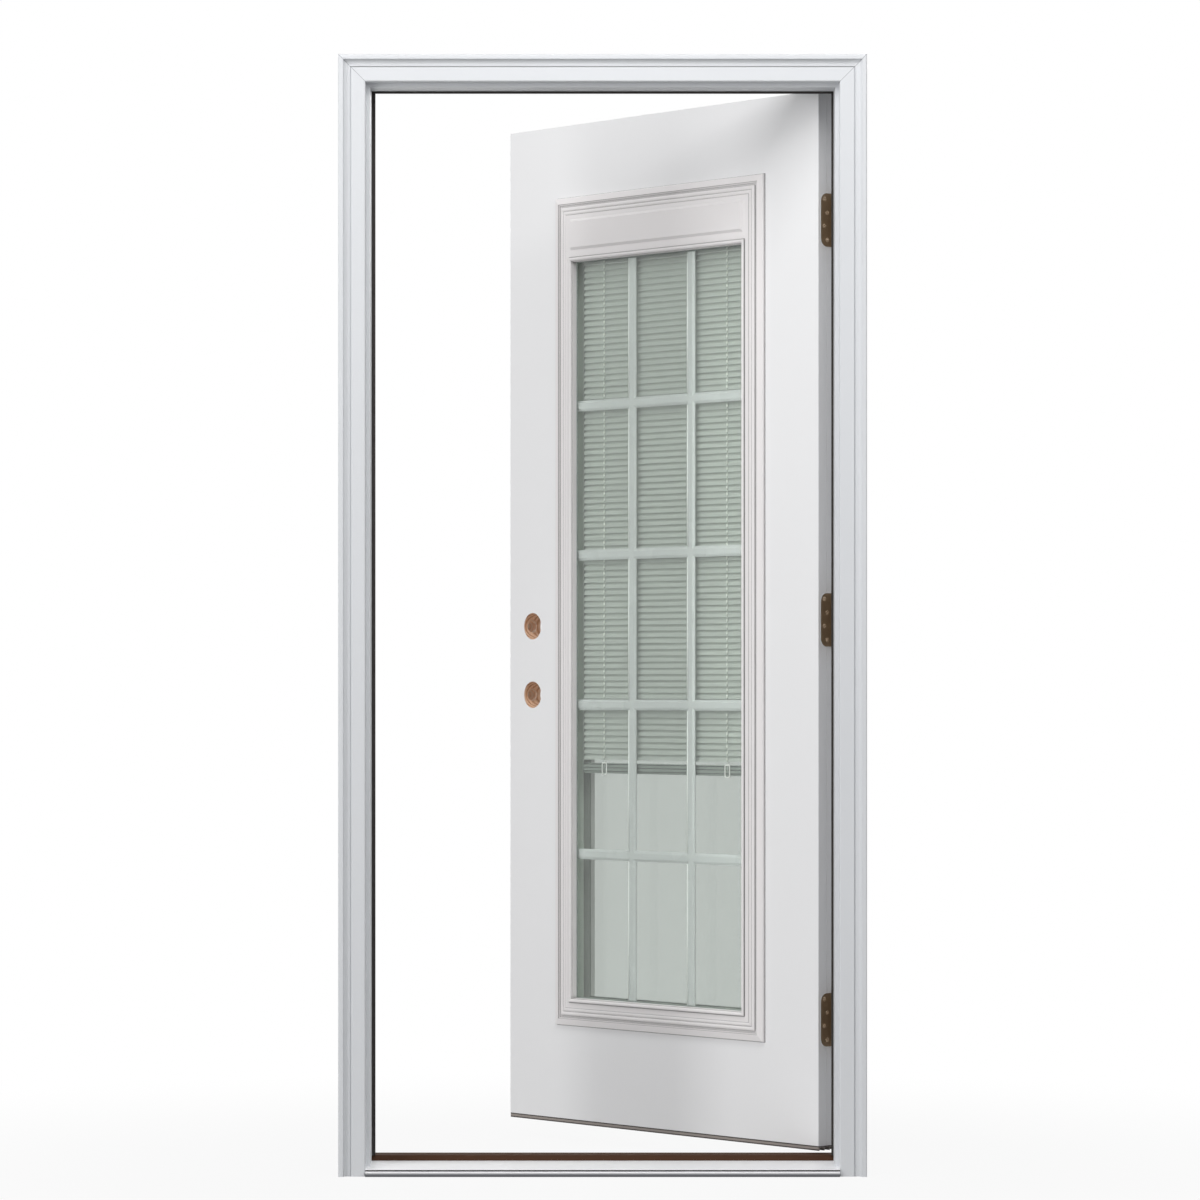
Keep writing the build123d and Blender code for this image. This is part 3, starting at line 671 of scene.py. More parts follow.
@dataclass(frozen=True)
class Metal:
    """Bare or coated metal with drawn lines along one axis, and painted shade toward the bottom where a low
    shade colour is given.
    """

    name: str
    colour: Colour
    bright: Colour
    roughness: float = 0.35
    metallic: float = 1.0
    line_stretch: tuple[float, float, float] = (1.0, 60.0, 60.0)
    line_scale: float = 20.0
    line_strength: float = 0.15
    rub_scale: float = 30.0
    # Painted shade toward the bottom: its colour and the heights where it ends and begins.
    painted_low_shade: Colour | None = None
    painted_shade_start: float = 0.0
    painted_shade_end: float = 0.01

    @cache
    def material(self) -> bpy.types.Material:
        """The metal's material, on Object coordinates stretched along its lines."""
        material, graph, output = new_material(self.name)
        coords = graph.add("ShaderNodeTexCoord").outputs["Object"]
        drawn = graph.add("ShaderNodeMapping", {"Vector": coords, "Scale": self.line_stretch})
        lines = EFFECTS.place(
            graph, Effect.BRUSHING, {"Vector": drawn.outputs["Vector"], "Scale": self.line_scale}
        )
        rubbed = EFFECTS.place(
            graph,
            Effect.RUBBED_PATCHES,
            {"Vector": coords, "Color": self.colour, "Bright": self.bright, "Scale": self.rub_scale},
        )
        base = rubbed.outputs["Color"]
        # Painted shade: the colour turns to the low shade colour toward the bottom.
        if self.painted_low_shade:
            height = graph.add("ShaderNodeSeparateXYZ", {"Vector": coords}).outputs["Z"]
            low = graph.ramp(height, self.painted_shade_start, self.painted_shade_end, 1.0, 0.0)
            base = graph.mix(low, base, self.painted_low_shade)
        rough = graph.ramp(
            lines.outputs["Mask"], 0.1, 0.4, self.roughness - 0.07, self.roughness + 0.09
        )
        bump = graph.add(
            "ShaderNodeBump",
            {"Strength": self.line_strength, "Distance": 0.0002, "Height": lines.outputs["Height"]},
        )
        shader = graph.add(
            "ShaderNodeBsdfPrincipled",
            {
                "Base Color": base,
                "Metallic": self.metallic,
                "Roughness": rough,
                "Normal": bump.outputs["Normal"],
            },
        )
        graph.tree.links.new(shader.outputs[0], output.inputs["Surface"])
        return material


@dataclass(frozen=True)
class Wood:
    """Bare softwood, with its grain along one axis."""

    name: str
    light: Colour
    dark: Colour
    stretch: tuple[float, float, float] = (1.0, 1.0, 0.06)
    scale: float = 26.0
    roughness: float = 0.68

    @cache
    def material(self) -> bpy.types.Material:
        """The wood's material, on Object coordinates pressed along the grain."""
        material, graph, output = new_material(self.name)
        coords = graph.add("ShaderNodeTexCoord").outputs["Object"]
        pressed = graph.add("ShaderNodeMapping", {"Vector": coords, "Scale": self.stretch})
        figure = EFFECTS.place(
            graph,
            Effect.WOOD_FIGURE,
            {
                "Vector": pressed.outputs["Vector"],
                "Light": self.light,
                "Dark": self.dark,
                "Scale": self.scale,
            },
        )
        bump = graph.add(
            "ShaderNodeBump",
            {"Strength": 0.35, "Distance": 0.0004, "Height": figure.outputs["Height"]},
        )
        shader = graph.add(
            "ShaderNodeBsdfPrincipled",
            {
                "Base Color": figure.outputs["Color"],
                "Roughness": self.roughness,
                "Normal": bump.outputs["Normal"],
            },
        )
        graph.tree.links.new(shader.outputs[0], output.inputs["Surface"])
        return material


@dataclass(frozen=True)
class Glass:
    """Clear glass with a faint tint, plain to shadows so that light passes it."""

    name: str
    tint: Colour
    shadow_tint: Colour

    @cache
    def material(self) -> bpy.types.Material:
        """The glass's material: a faint waviness, and see-through to shadow rays."""
        material, graph, output = new_material(self.name)
        coords = graph.add("ShaderNodeTexCoord").outputs["Object"]
        drifted = EFFECTS.place(
            graph,
            Effect.MOTTLE,
            {"Vector": coords, "Color": self.tint, "Scale": 1.5, "Amount": 0.015},
        )
        shader = graph.add(
            "ShaderNodeBsdfPrincipled",
            {
                "Base Color": drifted.outputs["Color"],
                "Roughness": 0.0,
                "IOR": 1.5,
                "Transmission Weight": 1.0,
            },
        )
        through = graph.add("ShaderNodeBsdfTransparent", {"Color": self.shadow_tint})
        path = graph.add("ShaderNodeLightPath")
        mixed = graph.add(
            "ShaderNodeMixShader",
            {"#0": path.outputs["Is Shadow Ray"], "#1": shader.outputs[0], "#2": through.outputs[0]},
        )
        graph.tree.links.new(mixed.outputs[0], output.inputs["Surface"])
        return material


WHITE_FRAME = Paint("white_composite_paint", shade(217, 219, 222), 0.42, 0.015, 2.0, 420.0, 0.08)
WHITE_STEEL = Paint("white_steel_paint", shade(238, 238, 239), 0.38, 0.012, 1.2, 260.0, 0.10, coat=0.1)
# The head brickmould gets painted shade in its grooves.
HEAD_FRAME = Paint(
    "white_head_composite_paint", shade(218, 220, 223), 0.42, 0.015, 2.0, 420.0, 0.08,
    painted_shade_amount=0.5, mitre_rise=MITRE_RISE,
)
SIDE_MOULD = Paint(
    "white_side_mould_paint", shade(217, 219, 222), 0.42, 0.015, 2.0, 420.0, 0.08, mitre_rise=MITRE_RISE
)
# Painted light: the interior frame's moulding is a slightly lighter copy of the outer one.
LIGHTER_INNER_MOULDING = Paint("interior_off_white_moulding_painted_light", shade(238, 236, 235), 0.42, 0.015, 3.0, 900.0, 0.10)
# The outer lite frame and cover panel get painted shade in their grooves.
MOULDING = Paint("off_white_moulding", shade(236, 233, 233), 0.42, 0.015, 3.0, 900.0, 0.10, painted_shade_amount=0.52)
DARK_SEAL = Paint("dark_seal_foam", shade(38, 34, 32), 0.75, 0.12, 30.0, 1400.0, 0.5)
# Painted light and shade on the sweep: a pale sheen band between dark edges.
GREY_SWEEP = Ribbed("grey_sweep_vinyl_painted_sheen", shade(56, 49, 47), shade(148, 140, 134))
SILL_CORE = Wood(
    "sill_core_composite", shade(172, 150, 124), shade(140, 118, 94), (0.05, 1.0, 1.0), 40.0, 0.8
)
# The sill's nose is painted darker toward its bottom as shade.
MILL_ALUMINIUM = Metal(
    "mill_aluminium", shade(251, 251, 253), shade(255, 255, 255), 0.42, 0.1, (0.6, 60.0, 60.0), 24.0, 0.03,
    painted_low_shade=shade(92, 94, 98), painted_shade_start=0.003, painted_shade_end=0.0108,
)
BROWN_CAP = Paint(
    "brown_cap_composite", shade(72, 49, 36), 0.8, 0.10, 40.0, 1200.0, 0.2, specular=0.15
)
BRONZE = Metal(
    "bronze_hinge_metal", shade(138, 118, 94), shade(170, 146, 118), 0.42, 0.3, (14.0, 14.0, 1.0), 30.0, 0.1
)
SCREW_METAL = Metal(
    "bronze_screw_metal", shade(214, 192, 166), shade(250, 238, 220), 0.24, 0.5, (8.0, 8.0, 8.0), 40.0, 0.1
)
STILE_WOOD = Wood("stile_wood", shade(250, 222, 198), shade(234, 192, 160))
BLOCK_WOOD = Wood("lock_block_wood", shade(246, 212, 182), shade(206, 160, 126), scale=34.0)
# Painted light: paler wood for the inside of the latch bores.
LIT_BORE_WOOD = Wood("bore_wood_painted_light", shade(255, 238, 222), shade(246, 216, 192), scale=30.0)
RAIL_WOOD = Wood("rail_wood", shade(240, 212, 184), shade(218, 178, 146), (0.06, 0.06, 1.0), 26.0)
FOAM = Paint("core_foam", shade(222, 206, 168), 0.9, 0.10, 60.0, 500.0, 0.8)
CLEAR_GLASS = Glass("clear_glass", shade(214, 218, 215), shade(242, 244, 242))
SPACER = Metal("spacer_metal", shade(206, 214, 206), shade(216, 222, 216), 0.5, 0.1)
GRILLE = Paint("grille_enamel", shade(208, 210, 211), 0.26, 0.012, 3.0, 500.0, 0.04, coat=0.3)
SLAT = Paint("slat_enamel", shade(184, 189, 184), 0.34, 0.04, 5.0, 700.0, 0.05, coat=0.1)
RAIL_ENAMEL = Paint("blind_rail_enamel", shade(140, 147, 142), 0.36, 0.04, 8.0, 700.0, 0.05)
# Painted shade: dark enamel for lines standing for the shade in the bottom rail's grooves.
RAIL_GROOVE_SHADE = Paint("blind_rail_groove_shade", shade(76, 83, 80), 0.5, 0.05, 12.0, 700.0, 0.05)
# Painted highlight: pale enamel for rods along both ends of every slat.
SLAT_END_HIGHLIGHT = Paint("slat_end_painted_highlight", shade(236, 240, 236), 0.3, 0.02, 5.0, 700.0, 0.05, coat=0.2)
# Painted highlight: near-white enamel for the lock-side edge of each upright grille bar.
BAR_HIGHLIGHT = Paint("grille_edge_painted_highlight", shade(252, 253, 252), 0.22, 0.01, 3.0, 500.0, 0.04, coat=0.6)
# One ladder cord in two copies: the strand painted grey as shade, the loops and rungs painted near white as
# lit.
SHADED_STRAND = Paint("ladder_strand_painted_shade", shade(196, 202, 196), 0.8, 0.04, 60.0, 2600.0, 0.6)
LIT_CORD = Paint("ladder_cord_painted_lit", shade(252, 252, 248), 0.7, 0.04, 60.0, 2600.0, 0.6)
OPERATOR = Paint("operator_plastic", shade(231, 230, 228), 0.36, 0.012, 4.0, 900.0, 0.08)
# Grey rubber gasket round the lite frames; its grey also stands in as painted contact shadow under the
# frames' edges.
GASKET_AND_SHADOW = Paint("frame_gasket_and_contact_shadow", shade(116, 113, 115), 0.6, 0.08, 20.0, 600.0, 0.2)
# Vinyl joint strip, darkened to near black as painted shade in the nose's groove.
JOINT_STRIP_SHADE = Paint("sill_joint_vinyl_and_groove_shade", shade(34, 34, 37), 0.7, 0.08, 20.0, 600.0, 0.2, specular=0.2)
GLAZING_SEAL = Paint("glazing_seal_grey", shade(136, 144, 139), 0.6, 0.08, 20.0, 600.0, 0.2)


def dress(node: str, material: bpy.types.Material) -> None:
    """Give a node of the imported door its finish, in every slot it has."""
    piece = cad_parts[node]
    if not piece.material_slots:
        piece.data.materials.append(material)
    for slot in piece.material_slots:
        slot.material = material


def finish_piece(piece: bpy.types.Object, material: bpy.types.Material, body: Body) -> None:
    """Give a new piece its finish and its body."""
    piece.data.materials.append(material)
    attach(piece, body.value)


@dataclass
class DoorFrame:
    """Jambs, brickmoulds, weatherstrips and sill."""

    sides: tuple[str, ...] = ("lock", "hinge", "head")
    nose_front: float = -31.75
    strip_back: float = 5.2
    strip_proud: float = 3.0
    strip_low: float = 10.1
    strip_high: float = 12.9
    half_reach: float = 444.5
    bulb_across: float = -433.1
    bulb_depth: float = 62.5
    bulb_reach: float = 3.0
    bulb_low: float = 31.4
    bulb_high: float = 2040.8

    def build(self) -> list[bpy.types.Object]:
        """The sill's joint strip and the lock side's bulb."""
        return [self.joint_strip(), self.bulb()]

    def bulb(self) -> bpy.types.Object:
        """Soft bulb along the lock jamb's weatherstrip: an upright rod of round section."""
        t = np.linspace(0, 2 * np.pi, 16, endpoint=False)[None, :]
        z = np.array([self.bulb_low, self.bulb_high])[:, None]
        x = self.bulb_across + self.bulb_reach * np.cos(t)
        y = self.bulb_depth + self.bulb_reach * np.sin(t)
        points = metres(np.stack(np.broadcast_arrays(x, y, z), axis=-1))
        piece = gather("lock_weatherstrip_bulb", [rod(points)])
        finish_piece(piece, DARK_SEAL.material(), Body.FRAME)
        return piece

    def joint_strip(self) -> bpy.types.Object:
        """The dark vinyl joint strip in the groove of the sill's nose, its near black also painted shade
        under the groove's lip.

        Its section bulges forward by half a circle's worth of depth over its height:
        y = back - (back - proud) sin(pi s), z = low + (high - low) s.
        """
        s = np.linspace(0, 1, 7)[None, :]
        x = np.array([-self.half_reach, self.half_reach])[:, None]
        reach = (self.strip_back - self.strip_proud) * np.sin(np.pi * s)
        y = self.nose_front + self.strip_back - reach
        z = self.strip_low + (self.strip_high - self.strip_low) * s
        points = metres(np.stack(np.broadcast_arrays(x, y, z), axis=-1))
        strip = gather("sill_joint_strip", [rod(points)], smooth=False)
        finish_piece(strip, JOINT_STRIP_SHADE.material(), Body.FRAME)
        return strip

    def dress(self) -> None:
        """Paint the frame and finish its strips and sill."""
        white = WHITE_FRAME.material()
        side_mould = SIDE_MOULD.material()
        head_mould = HEAD_FRAME.material()
        seal = DARK_SEAL.material()
        for side in self.sides:
            dress(f"{side}_jamb", white)
            dress(f"{side}_brickmould", head_mould if side == "head" else side_mould)
            dress(f"{side}_weatherstrip", seal)
        dress("sill_base", SILL_CORE.material())
        dress("sill_deck", MILL_ALUMINIUM.material())
        dress("sill_cap", BROWN_CAP.material())


@dataclass
class LeafSlab:
    """Steel skins, wood, foam and sweep of the leaf."""

    skins: tuple[str, ...] = ("exterior_skin", "interior_skin")
    upright: tuple[str, ...] = ("lock_stile", "hinge_stile")
    level: tuple[str, ...] = ("top_rail", "bottom_rail")
    half_width: float = 452.12
    backset: float = 69.85
    bore_radius: float = 26.99
    latch_radius: float = 12.7
    latch_depth: float = 22.225
    bore_levels: tuple[float, ...] = (901.5, 1041.2)

    def build(self) -> list[bpy.types.Object]:
        """Walls of the two latch bores in paler wood, painted light as if lit from the lock edge: thin
        sleeves inside them.

        At radius r and angle t the sleeve runs across from just inside the lock edge to
        backset - sqrt(R^2 - (r sin t)^2) - 0.4, short of the wider bore of radius R.
        """
        t = np.linspace(0, 2 * np.pi, 32, endpoint=False)[None, :]
        r = np.array([0.25, 0.05, 0.05, 0.25, 0.25])[:, None]
        r = self.latch_radius - r
        inner = self.backset - np.sqrt(self.bore_radius**2 - (r * np.sin(t)) ** 2) - 0.4
        far = np.array([0.0, 0.0, 1.0, 1.0, 0.0])[:, None]
        across = -self.half_width + 0.3 + (inner - 0.3) * far
        faces = grid_faces(5, 32, True)
        parts = []
        for level in self.bore_levels:
            up = level + r * np.sin(t)
            points = LEAF.place(across, self.latch_depth + r * np.cos(t), up)
            parts.append((points.reshape(-1, 3), faces))
        piece = gather("latch_bore_walls", parts)
        finish_piece(piece, LIT_BORE_WOOD.material(), Body.LEAF)
        return [piece]

    def dress(self) -> None:
        """Finish the slab's own nodes."""
        steel = WHITE_STEEL.material()
        stile = STILE_WOOD.material()
        rail = RAIL_WOOD.material()
        for node in self.skins:
            dress(node, steel)
        for node in self.upright:
            dress(node, stile)
        for node in self.level:
            dress(node, rail)
        dress("lock_block", BLOCK_WOOD.material())
        dress("foam_core", FOAM.material())
        dress("door_sweep", GREY_SWEEP.material())


@dataclass
class Hinges:
    """Three butt hinges, with the screws of both their plates."""

    levels: tuple[tuple[str, float], ...] = (("upper", 1806.6), ("middle", 1045.3), ("lower", 284.0))
    reach: float = 50.8
    columns: tuple[float, float] = (10.0, 17.6)
    rows: tuple[float, ...] = (39.6, 13.5, -11.7, -37.8)
    head_radius: float = 4.4
    head_rise: float = 0.9
    head_sunk: float = 0.4
    slot_reach: float = 2.6
    slot_width: float = 0.55
    slot_depth: float = 0.9
    rings: int = 11
    sectors: int = 32
    half_height: float = 50.8
    corner: float = 15.875
    plate_end: float = 7.15
    rim_width: float = 0.9
    rim_rise: float = 0.45

    def rim_path(self) -> tuple[Array, Array, Array, Array]:
        """A plate's outline, from its lower end by the pin round to its upper one.

        The corners are quarter circles: their points lie at the centre plus
        corner x (cos t, sin t), and the straight stretches join their ends.

        Returns:
            Distances along and up, and the outward direction's two parts.
        """
        t = np.linspace(0, np.pi / 2, 9)
        centre = self.reach - self.corner
        middle = self.half_height - self.corner
        low = np.stack((-centre - self.corner * np.sin(t), -middle - self.corner * np.cos(t)))
        high = np.stack((-centre - self.corner * np.cos(t), middle + self.corner * np.sin(t)))
        ends = np.array([[-self.plate_end], [self.half_height]])
        path = np.concatenate((ends * [[1], [-1]], low, high, ends), axis=1)
        outward = np.concatenate(
            (
                [[0.0], [-1.0]],
                np.stack((-np.sin(t), -np.cos(t))),
                np.stack((-np.cos(t), np.sin(t))),
                [[0.0], [1.0]],
            ),
            axis=1,
        )
        return path[0], path[1], outward[0], outward[1]

    def rim(self, body: Body, level: float) -> tuple[Array, Array]:
        """The raised paint edge round one mortise: a low ridge, rise x sin(pi s).

        Args:
            body: the body that the mortise is in.
            level: the hinge's height.

        Returns:
            The ridge's points, in metres, and its faces.
        """
        along, up, out_along, out_up = self.rim_path()
        s = np.linspace(0, 1, 6)[None, :]
        rise = self.rim_rise * np.sin(np.pi * s) - 0.05
        x = along[:, None] + out_along[:, None] * self.rim_width * s
        y = up[:, None] + out_up[:, None] * self.rim_width * s
        points = self.set_head(body, x, y, rise + 0 * x, 0.0, level)
        return rod(points.reshape(len(along), 6, 3))

    def head(self) -> tuple[Array, Array, Array]:
        """A screw head with a cross recess, as distances across, up and out of its plate.

        Over radius r and angle t the height is rise x (1 - (r / R)^2), less a cross of
        depth d where |r cos t| or |r sin t| is under its half width and r is under its
        reach, each edge eased over a fifth of a millimetre.

        Returns:
            Three arrays of rings by sectors, in millimetres; the last two rings are sunk.
        """
        radii, t = dome_rings(self.rings, self.sectors)
        r = radii * self.head_radius
        x = r * np.cos(t)
        y = r * np.sin(t)
        nearest = np.minimum(np.abs(x), np.abs(y))
        inside = np.clip((self.slot_width - nearest) / 0.2 + 0.5, 0, 1)
        within = np.clip((self.slot_reach - r) / 0.4 + 0.5, 0, 1)
        height = self.head_rise * (1 - (r / self.head_radius) ** 2) + 0.05
        height = height - self.slot_depth * inside * within
        height[-2:, :] = -self.head_sunk
        return x, y, height

    def build(self) -> list[bpy.types.Object]:
        """The screws of each hinge plate, one object for each plate."""
        pieces = []
        x, y, height = self.head()
        faces = grid_faces(self.rings + 2, self.sectors, True)
        for name, level in self.levels:
            for body in (Body.LEAF, Body.FRAME):
                parts = []
                for count, row in enumerate(self.rows):
                    along = -self.reach + self.columns[count % 2]
                    parts.append((self.set_head(body, x, y, height, along, level + row), faces))
                piece = gather(f"{name}_hinge_{body.value}_screws", parts)
                pieces.append((piece, body))
        metal = SCREW_METAL.material()
        for piece, body in pieces:
            finish_piece(piece, metal, body)
        return [piece for piece, _ in pieces] + self.rims()

    def rims(self) -> list[bpy.types.Object]:
        """The paint edges round the mortises of each body, as one piece a body."""
        white = WHITE_STEEL.material()
        pieces = []
        for body in (Body.LEAF, Body.FRAME):
            parts = [self.rim(body, level) for _, level in self.levels]
            piece = gather(f"{body.value}_mortise_edges", parts)
            finish_piece(piece, white, body)
            pieces.append(piece)
        return pieces

    def set_head(self, body: Body, x: Array, y: Array, height: Array, along: float, up: float) -> Array:
        """A head's points on the face of its plate, in metres.

        Args:
            body: the body that the plate is on.
            x: distances along the plate.
            y: distances up the plate.
            height: distances out of the plate.
            along: the screw's place along the plate from the pin line.
            up: the screw's height.

        Returns:
            The points, n by 3.
        """
        if body is Body.LEAF:
            across = LEAF.half_width + height
            depth = LEAF.standoff + LEAF.thickness + along + x
            points = LEAF.place(across, depth, up + y)
        else:
            px = LEAF.pin_x + LEAF.edge_gap / 2 - height
            py = LEAF.pin_y + along + x
            points = metres(np.stack(np.broadcast_arrays(px, py, up + y), axis=-1))
        return points.reshape(-1, 3)

    def dress(self) -> None:
        """Finish the plates and pins."""
        bronze = BRONZE.material()
        for name, _ in self.levels:
            dress(f"{name}_hinge_jamb_plate", bronze)
            dress(f"{name}_hinge_leaf_plate", bronze)
            dress(f"{name}_hinge_pin", bronze)


def ring_path(half_width: float, bottom: float, top: float) -> Array:
    """Corners of an upright rectangle, with the direction that each corner's mitre takes.

    Returns:
        An array of 4 by 4: across, up, and the mitre's outward step in both.
    """
    return np.array(
        [
            [-half_width, bottom, -1.0, -1.0],
            [half_width, bottom, 1.0, -1.0],
            [half_width, top, 1.0, 1.0],
            [-half_width, top, -1.0, 1.0],
        ]
    )


def ring(name: str, face: Face, path: Array, profile: Array) -> bpy.types.Object:
    """A closed profile carried round a rectangle on one face, mitred at its corners.

    Each corner's copy of the profile steps out by its first value along the mitre and
    stands off the face by its second.

    Args:
        name: name of the object.
        face: the leaf's face that it lies on.
        path: corners from `ring_path`.
        profile: n by 2, distance out of the rectangle and height off the face.

    Returns:
        The new object.
    """
    across = path[:, None, 0] + path[:, None, 2] * profile[None, :, 0]
    up = path[:, None, 1] + path[:, None, 3] * profile[None, :, 0]
    height = np.broadcast_to(profile[None, :, 1], across.shape)
    points = LEAF.on_face(face, across, height, up)
    points = np.concatenate((points, points[:1]), axis=0)
    piece = surface(name, points, wrap=True, smooth=False)
    flip_outward(piece)
    return piece


@dataclass
class FullLite:
    """Moulded frames, glass unit, grille and blind in the leaf."""

    half_width: float = 304.62
    bottom: float = 234.5
    top: float = 1905.1
    border: float = 56.0
    top_border: float = 131.0
    glass_recess: float = 3.0
    bead_width: float = 1.3
    bead_height: float = 1.0
    seal_width: float = 2.2
    columns: int = 3
    rows: int = 5
    bar_width: float = 21.0
    edge_inset: float = 9.3
    edge_depth: float = 8.20
    edge_radius: float = 1.25
    seal_height: float = 0.9
    plug_radius: float = 4.5
    plug_rise: float = 0.45
    plug_line: float = 41.0
    flat_height: float = 9.5
    plug_levels: tuple[float, ...] = (290.0, 560.0, 1600.0, 1850.0)

    def build(self) -> list[bpy.types.Object]:
        """Gaskets under both frames, whose grey is also painted contact shadow, glazing seals, the bars'
        painted-highlight edges and the screw plugs.
        """
        gasket_shadow = GASKET_AND_SHADOW.material()
        seal = GLAZING_SEAL.material()
        white = OPERATOR.material()
        pieces = []
        for face in Face:
            side = face.name.lower()
            # The gasket ring: rubber, and also painted contact shadow at the frame's edge.
            bead = ring(f"{side}_frame_gasket", face, self.outer_path(), self.bead_profile())
            finish_piece(bead, gasket_shadow, Body.LEAF)
            strip = ring(f"{side}_glazing_seal", face, self.opening_path(), self.seal_profile())
            finish_piece(strip, seal, Body.LEAF)
            pieces += [bead, strip]
        highlight_rods = self.highlight_edges()
        finish_piece(highlight_rods, BAR_HIGHLIGHT.material(), Body.LEAF)
        pieces.append(highlight_rods)
        plugs = self.plugs()
        finish_piece(plugs, white, Body.LEAF)
        return pieces + [plugs]

    def highlight_edges(self) -> bpy.types.Object:
        """Painted highlight on the lock side of each upright bar: near-white round rods between the bars.

        A rod's section is a circle of the edge's radius, level with the bar's front.
        """
        t = np.linspace(0, 2 * np.pi, 10, endpoint=False)[None, :]
        bottom = self.bottom + self.border
        top = self.top - self.top_border
        pitch = (top - bottom + self.bar_width) / self.rows
        middles = (bottom + top) / 2 + (np.arange(self.rows - 1) - (self.rows - 2) / 2) * pitch
        lows = np.concatenate(([bottom - 2], middles + self.bar_width / 2 + 0.3))
        highs = np.concatenate((middles - self.bar_width / 2 - 0.3, [top + 2]))
        reach = (2 * (self.half_width - self.border) + self.bar_width) / self.columns / 2
        parts = []
        for bar in (-reach, reach):
            across = bar - self.edge_inset + self.edge_radius * np.cos(t)
            depth = self.edge_depth + self.edge_radius * np.sin(t)
            for low, high in zip(lows, highs):
                parts.append(rod(LEAF.place(across, depth, np.array([[low], [high]]))))
        return gather("grille_bar_highlight_edges", parts)

    def outer_path(self) -> Array:
        """Corners of the frames' outer edge."""
        return ring_path(self.half_width, self.bottom, self.top)

    def opening_path(self) -> Array:
        """Corners of the daylight opening."""
        return ring_path(
            self.half_width - self.border, self.bottom + self.border, self.top - self.top_border
        )

    def bead_profile(self) -> Array:
        """Quarter of an ellipse on the skin: width (1 - sin t), height (1 - cos t)."""
        t = np.linspace(0, np.pi / 2, 5)
        curve = np.stack((self.bead_width * (1 - np.sin(t)), self.bead_height * (1 - np.cos(t))), 1)
        return np.concatenate(([[-0.2, 0.0], [self.bead_width, 0.0]], curve[1:], [[-0.2, self.bead_height]]))

    def seal_profile(self) -> Array:
        """Low four-sided strip on the glass, inside the opening's edge."""
        low = -self.glass_recess
        return np.array(
            [
                [-self.seal_width, low],
                [0.3, low],
                [0.0, low + self.seal_height],
                [-self.seal_width * 0.8, low + self.seal_height * 0.7],
            ]
        )

    def plugs(self) -> bpy.types.Object:
        """Round plugs over the inner frame's screws: low domes, rise x (1 - (r / R)^4)."""
        radii, t = dome_rings(6, 24)
        r = radii * self.plug_radius
        dome = self.plug_rise * (1 - radii**4) + 0.1 + 0 * t
        dome[-2:, :] = -0.1
        faces = grid_faces(8, 24, True)
        across = self.half_width - self.plug_line
        low = self.bottom + self.plug_line
        high = self.top - self.plug_line
        spots = [(side * across, level) for side in (-1, 1) for level in self.plug_levels]
        spots += [(x, level) for x in (-130.0, 130.0) for level in (low, high)]
        parts = []
        for x, z in spots:
            points = LEAF.on_face(
                Face.INTERIOR, x + r * np.cos(t), self.flat_height + dome, z + r * np.sin(t)
            )
            parts.append((points.reshape(-1, 3), faces))
        return gather("interior_frame_plugs", parts)

    def dress(self) -> None:
        """Finish the lite's own nodes."""
        moulding = MOULDING.material()
        glass = CLEAR_GLASS.material()
        for side, finish in (("exterior", moulding), ("interior", LIGHTER_INNER_MOULDING.material())):
            dress(f"{side}_lite_frame", finish)
            dress(f"{side}_cover_panel", finish)
            dress(f"{side}_pane", glass)
        dress("glass_spacer", SPACER.material())
        dress("grille", GRILLE.material())


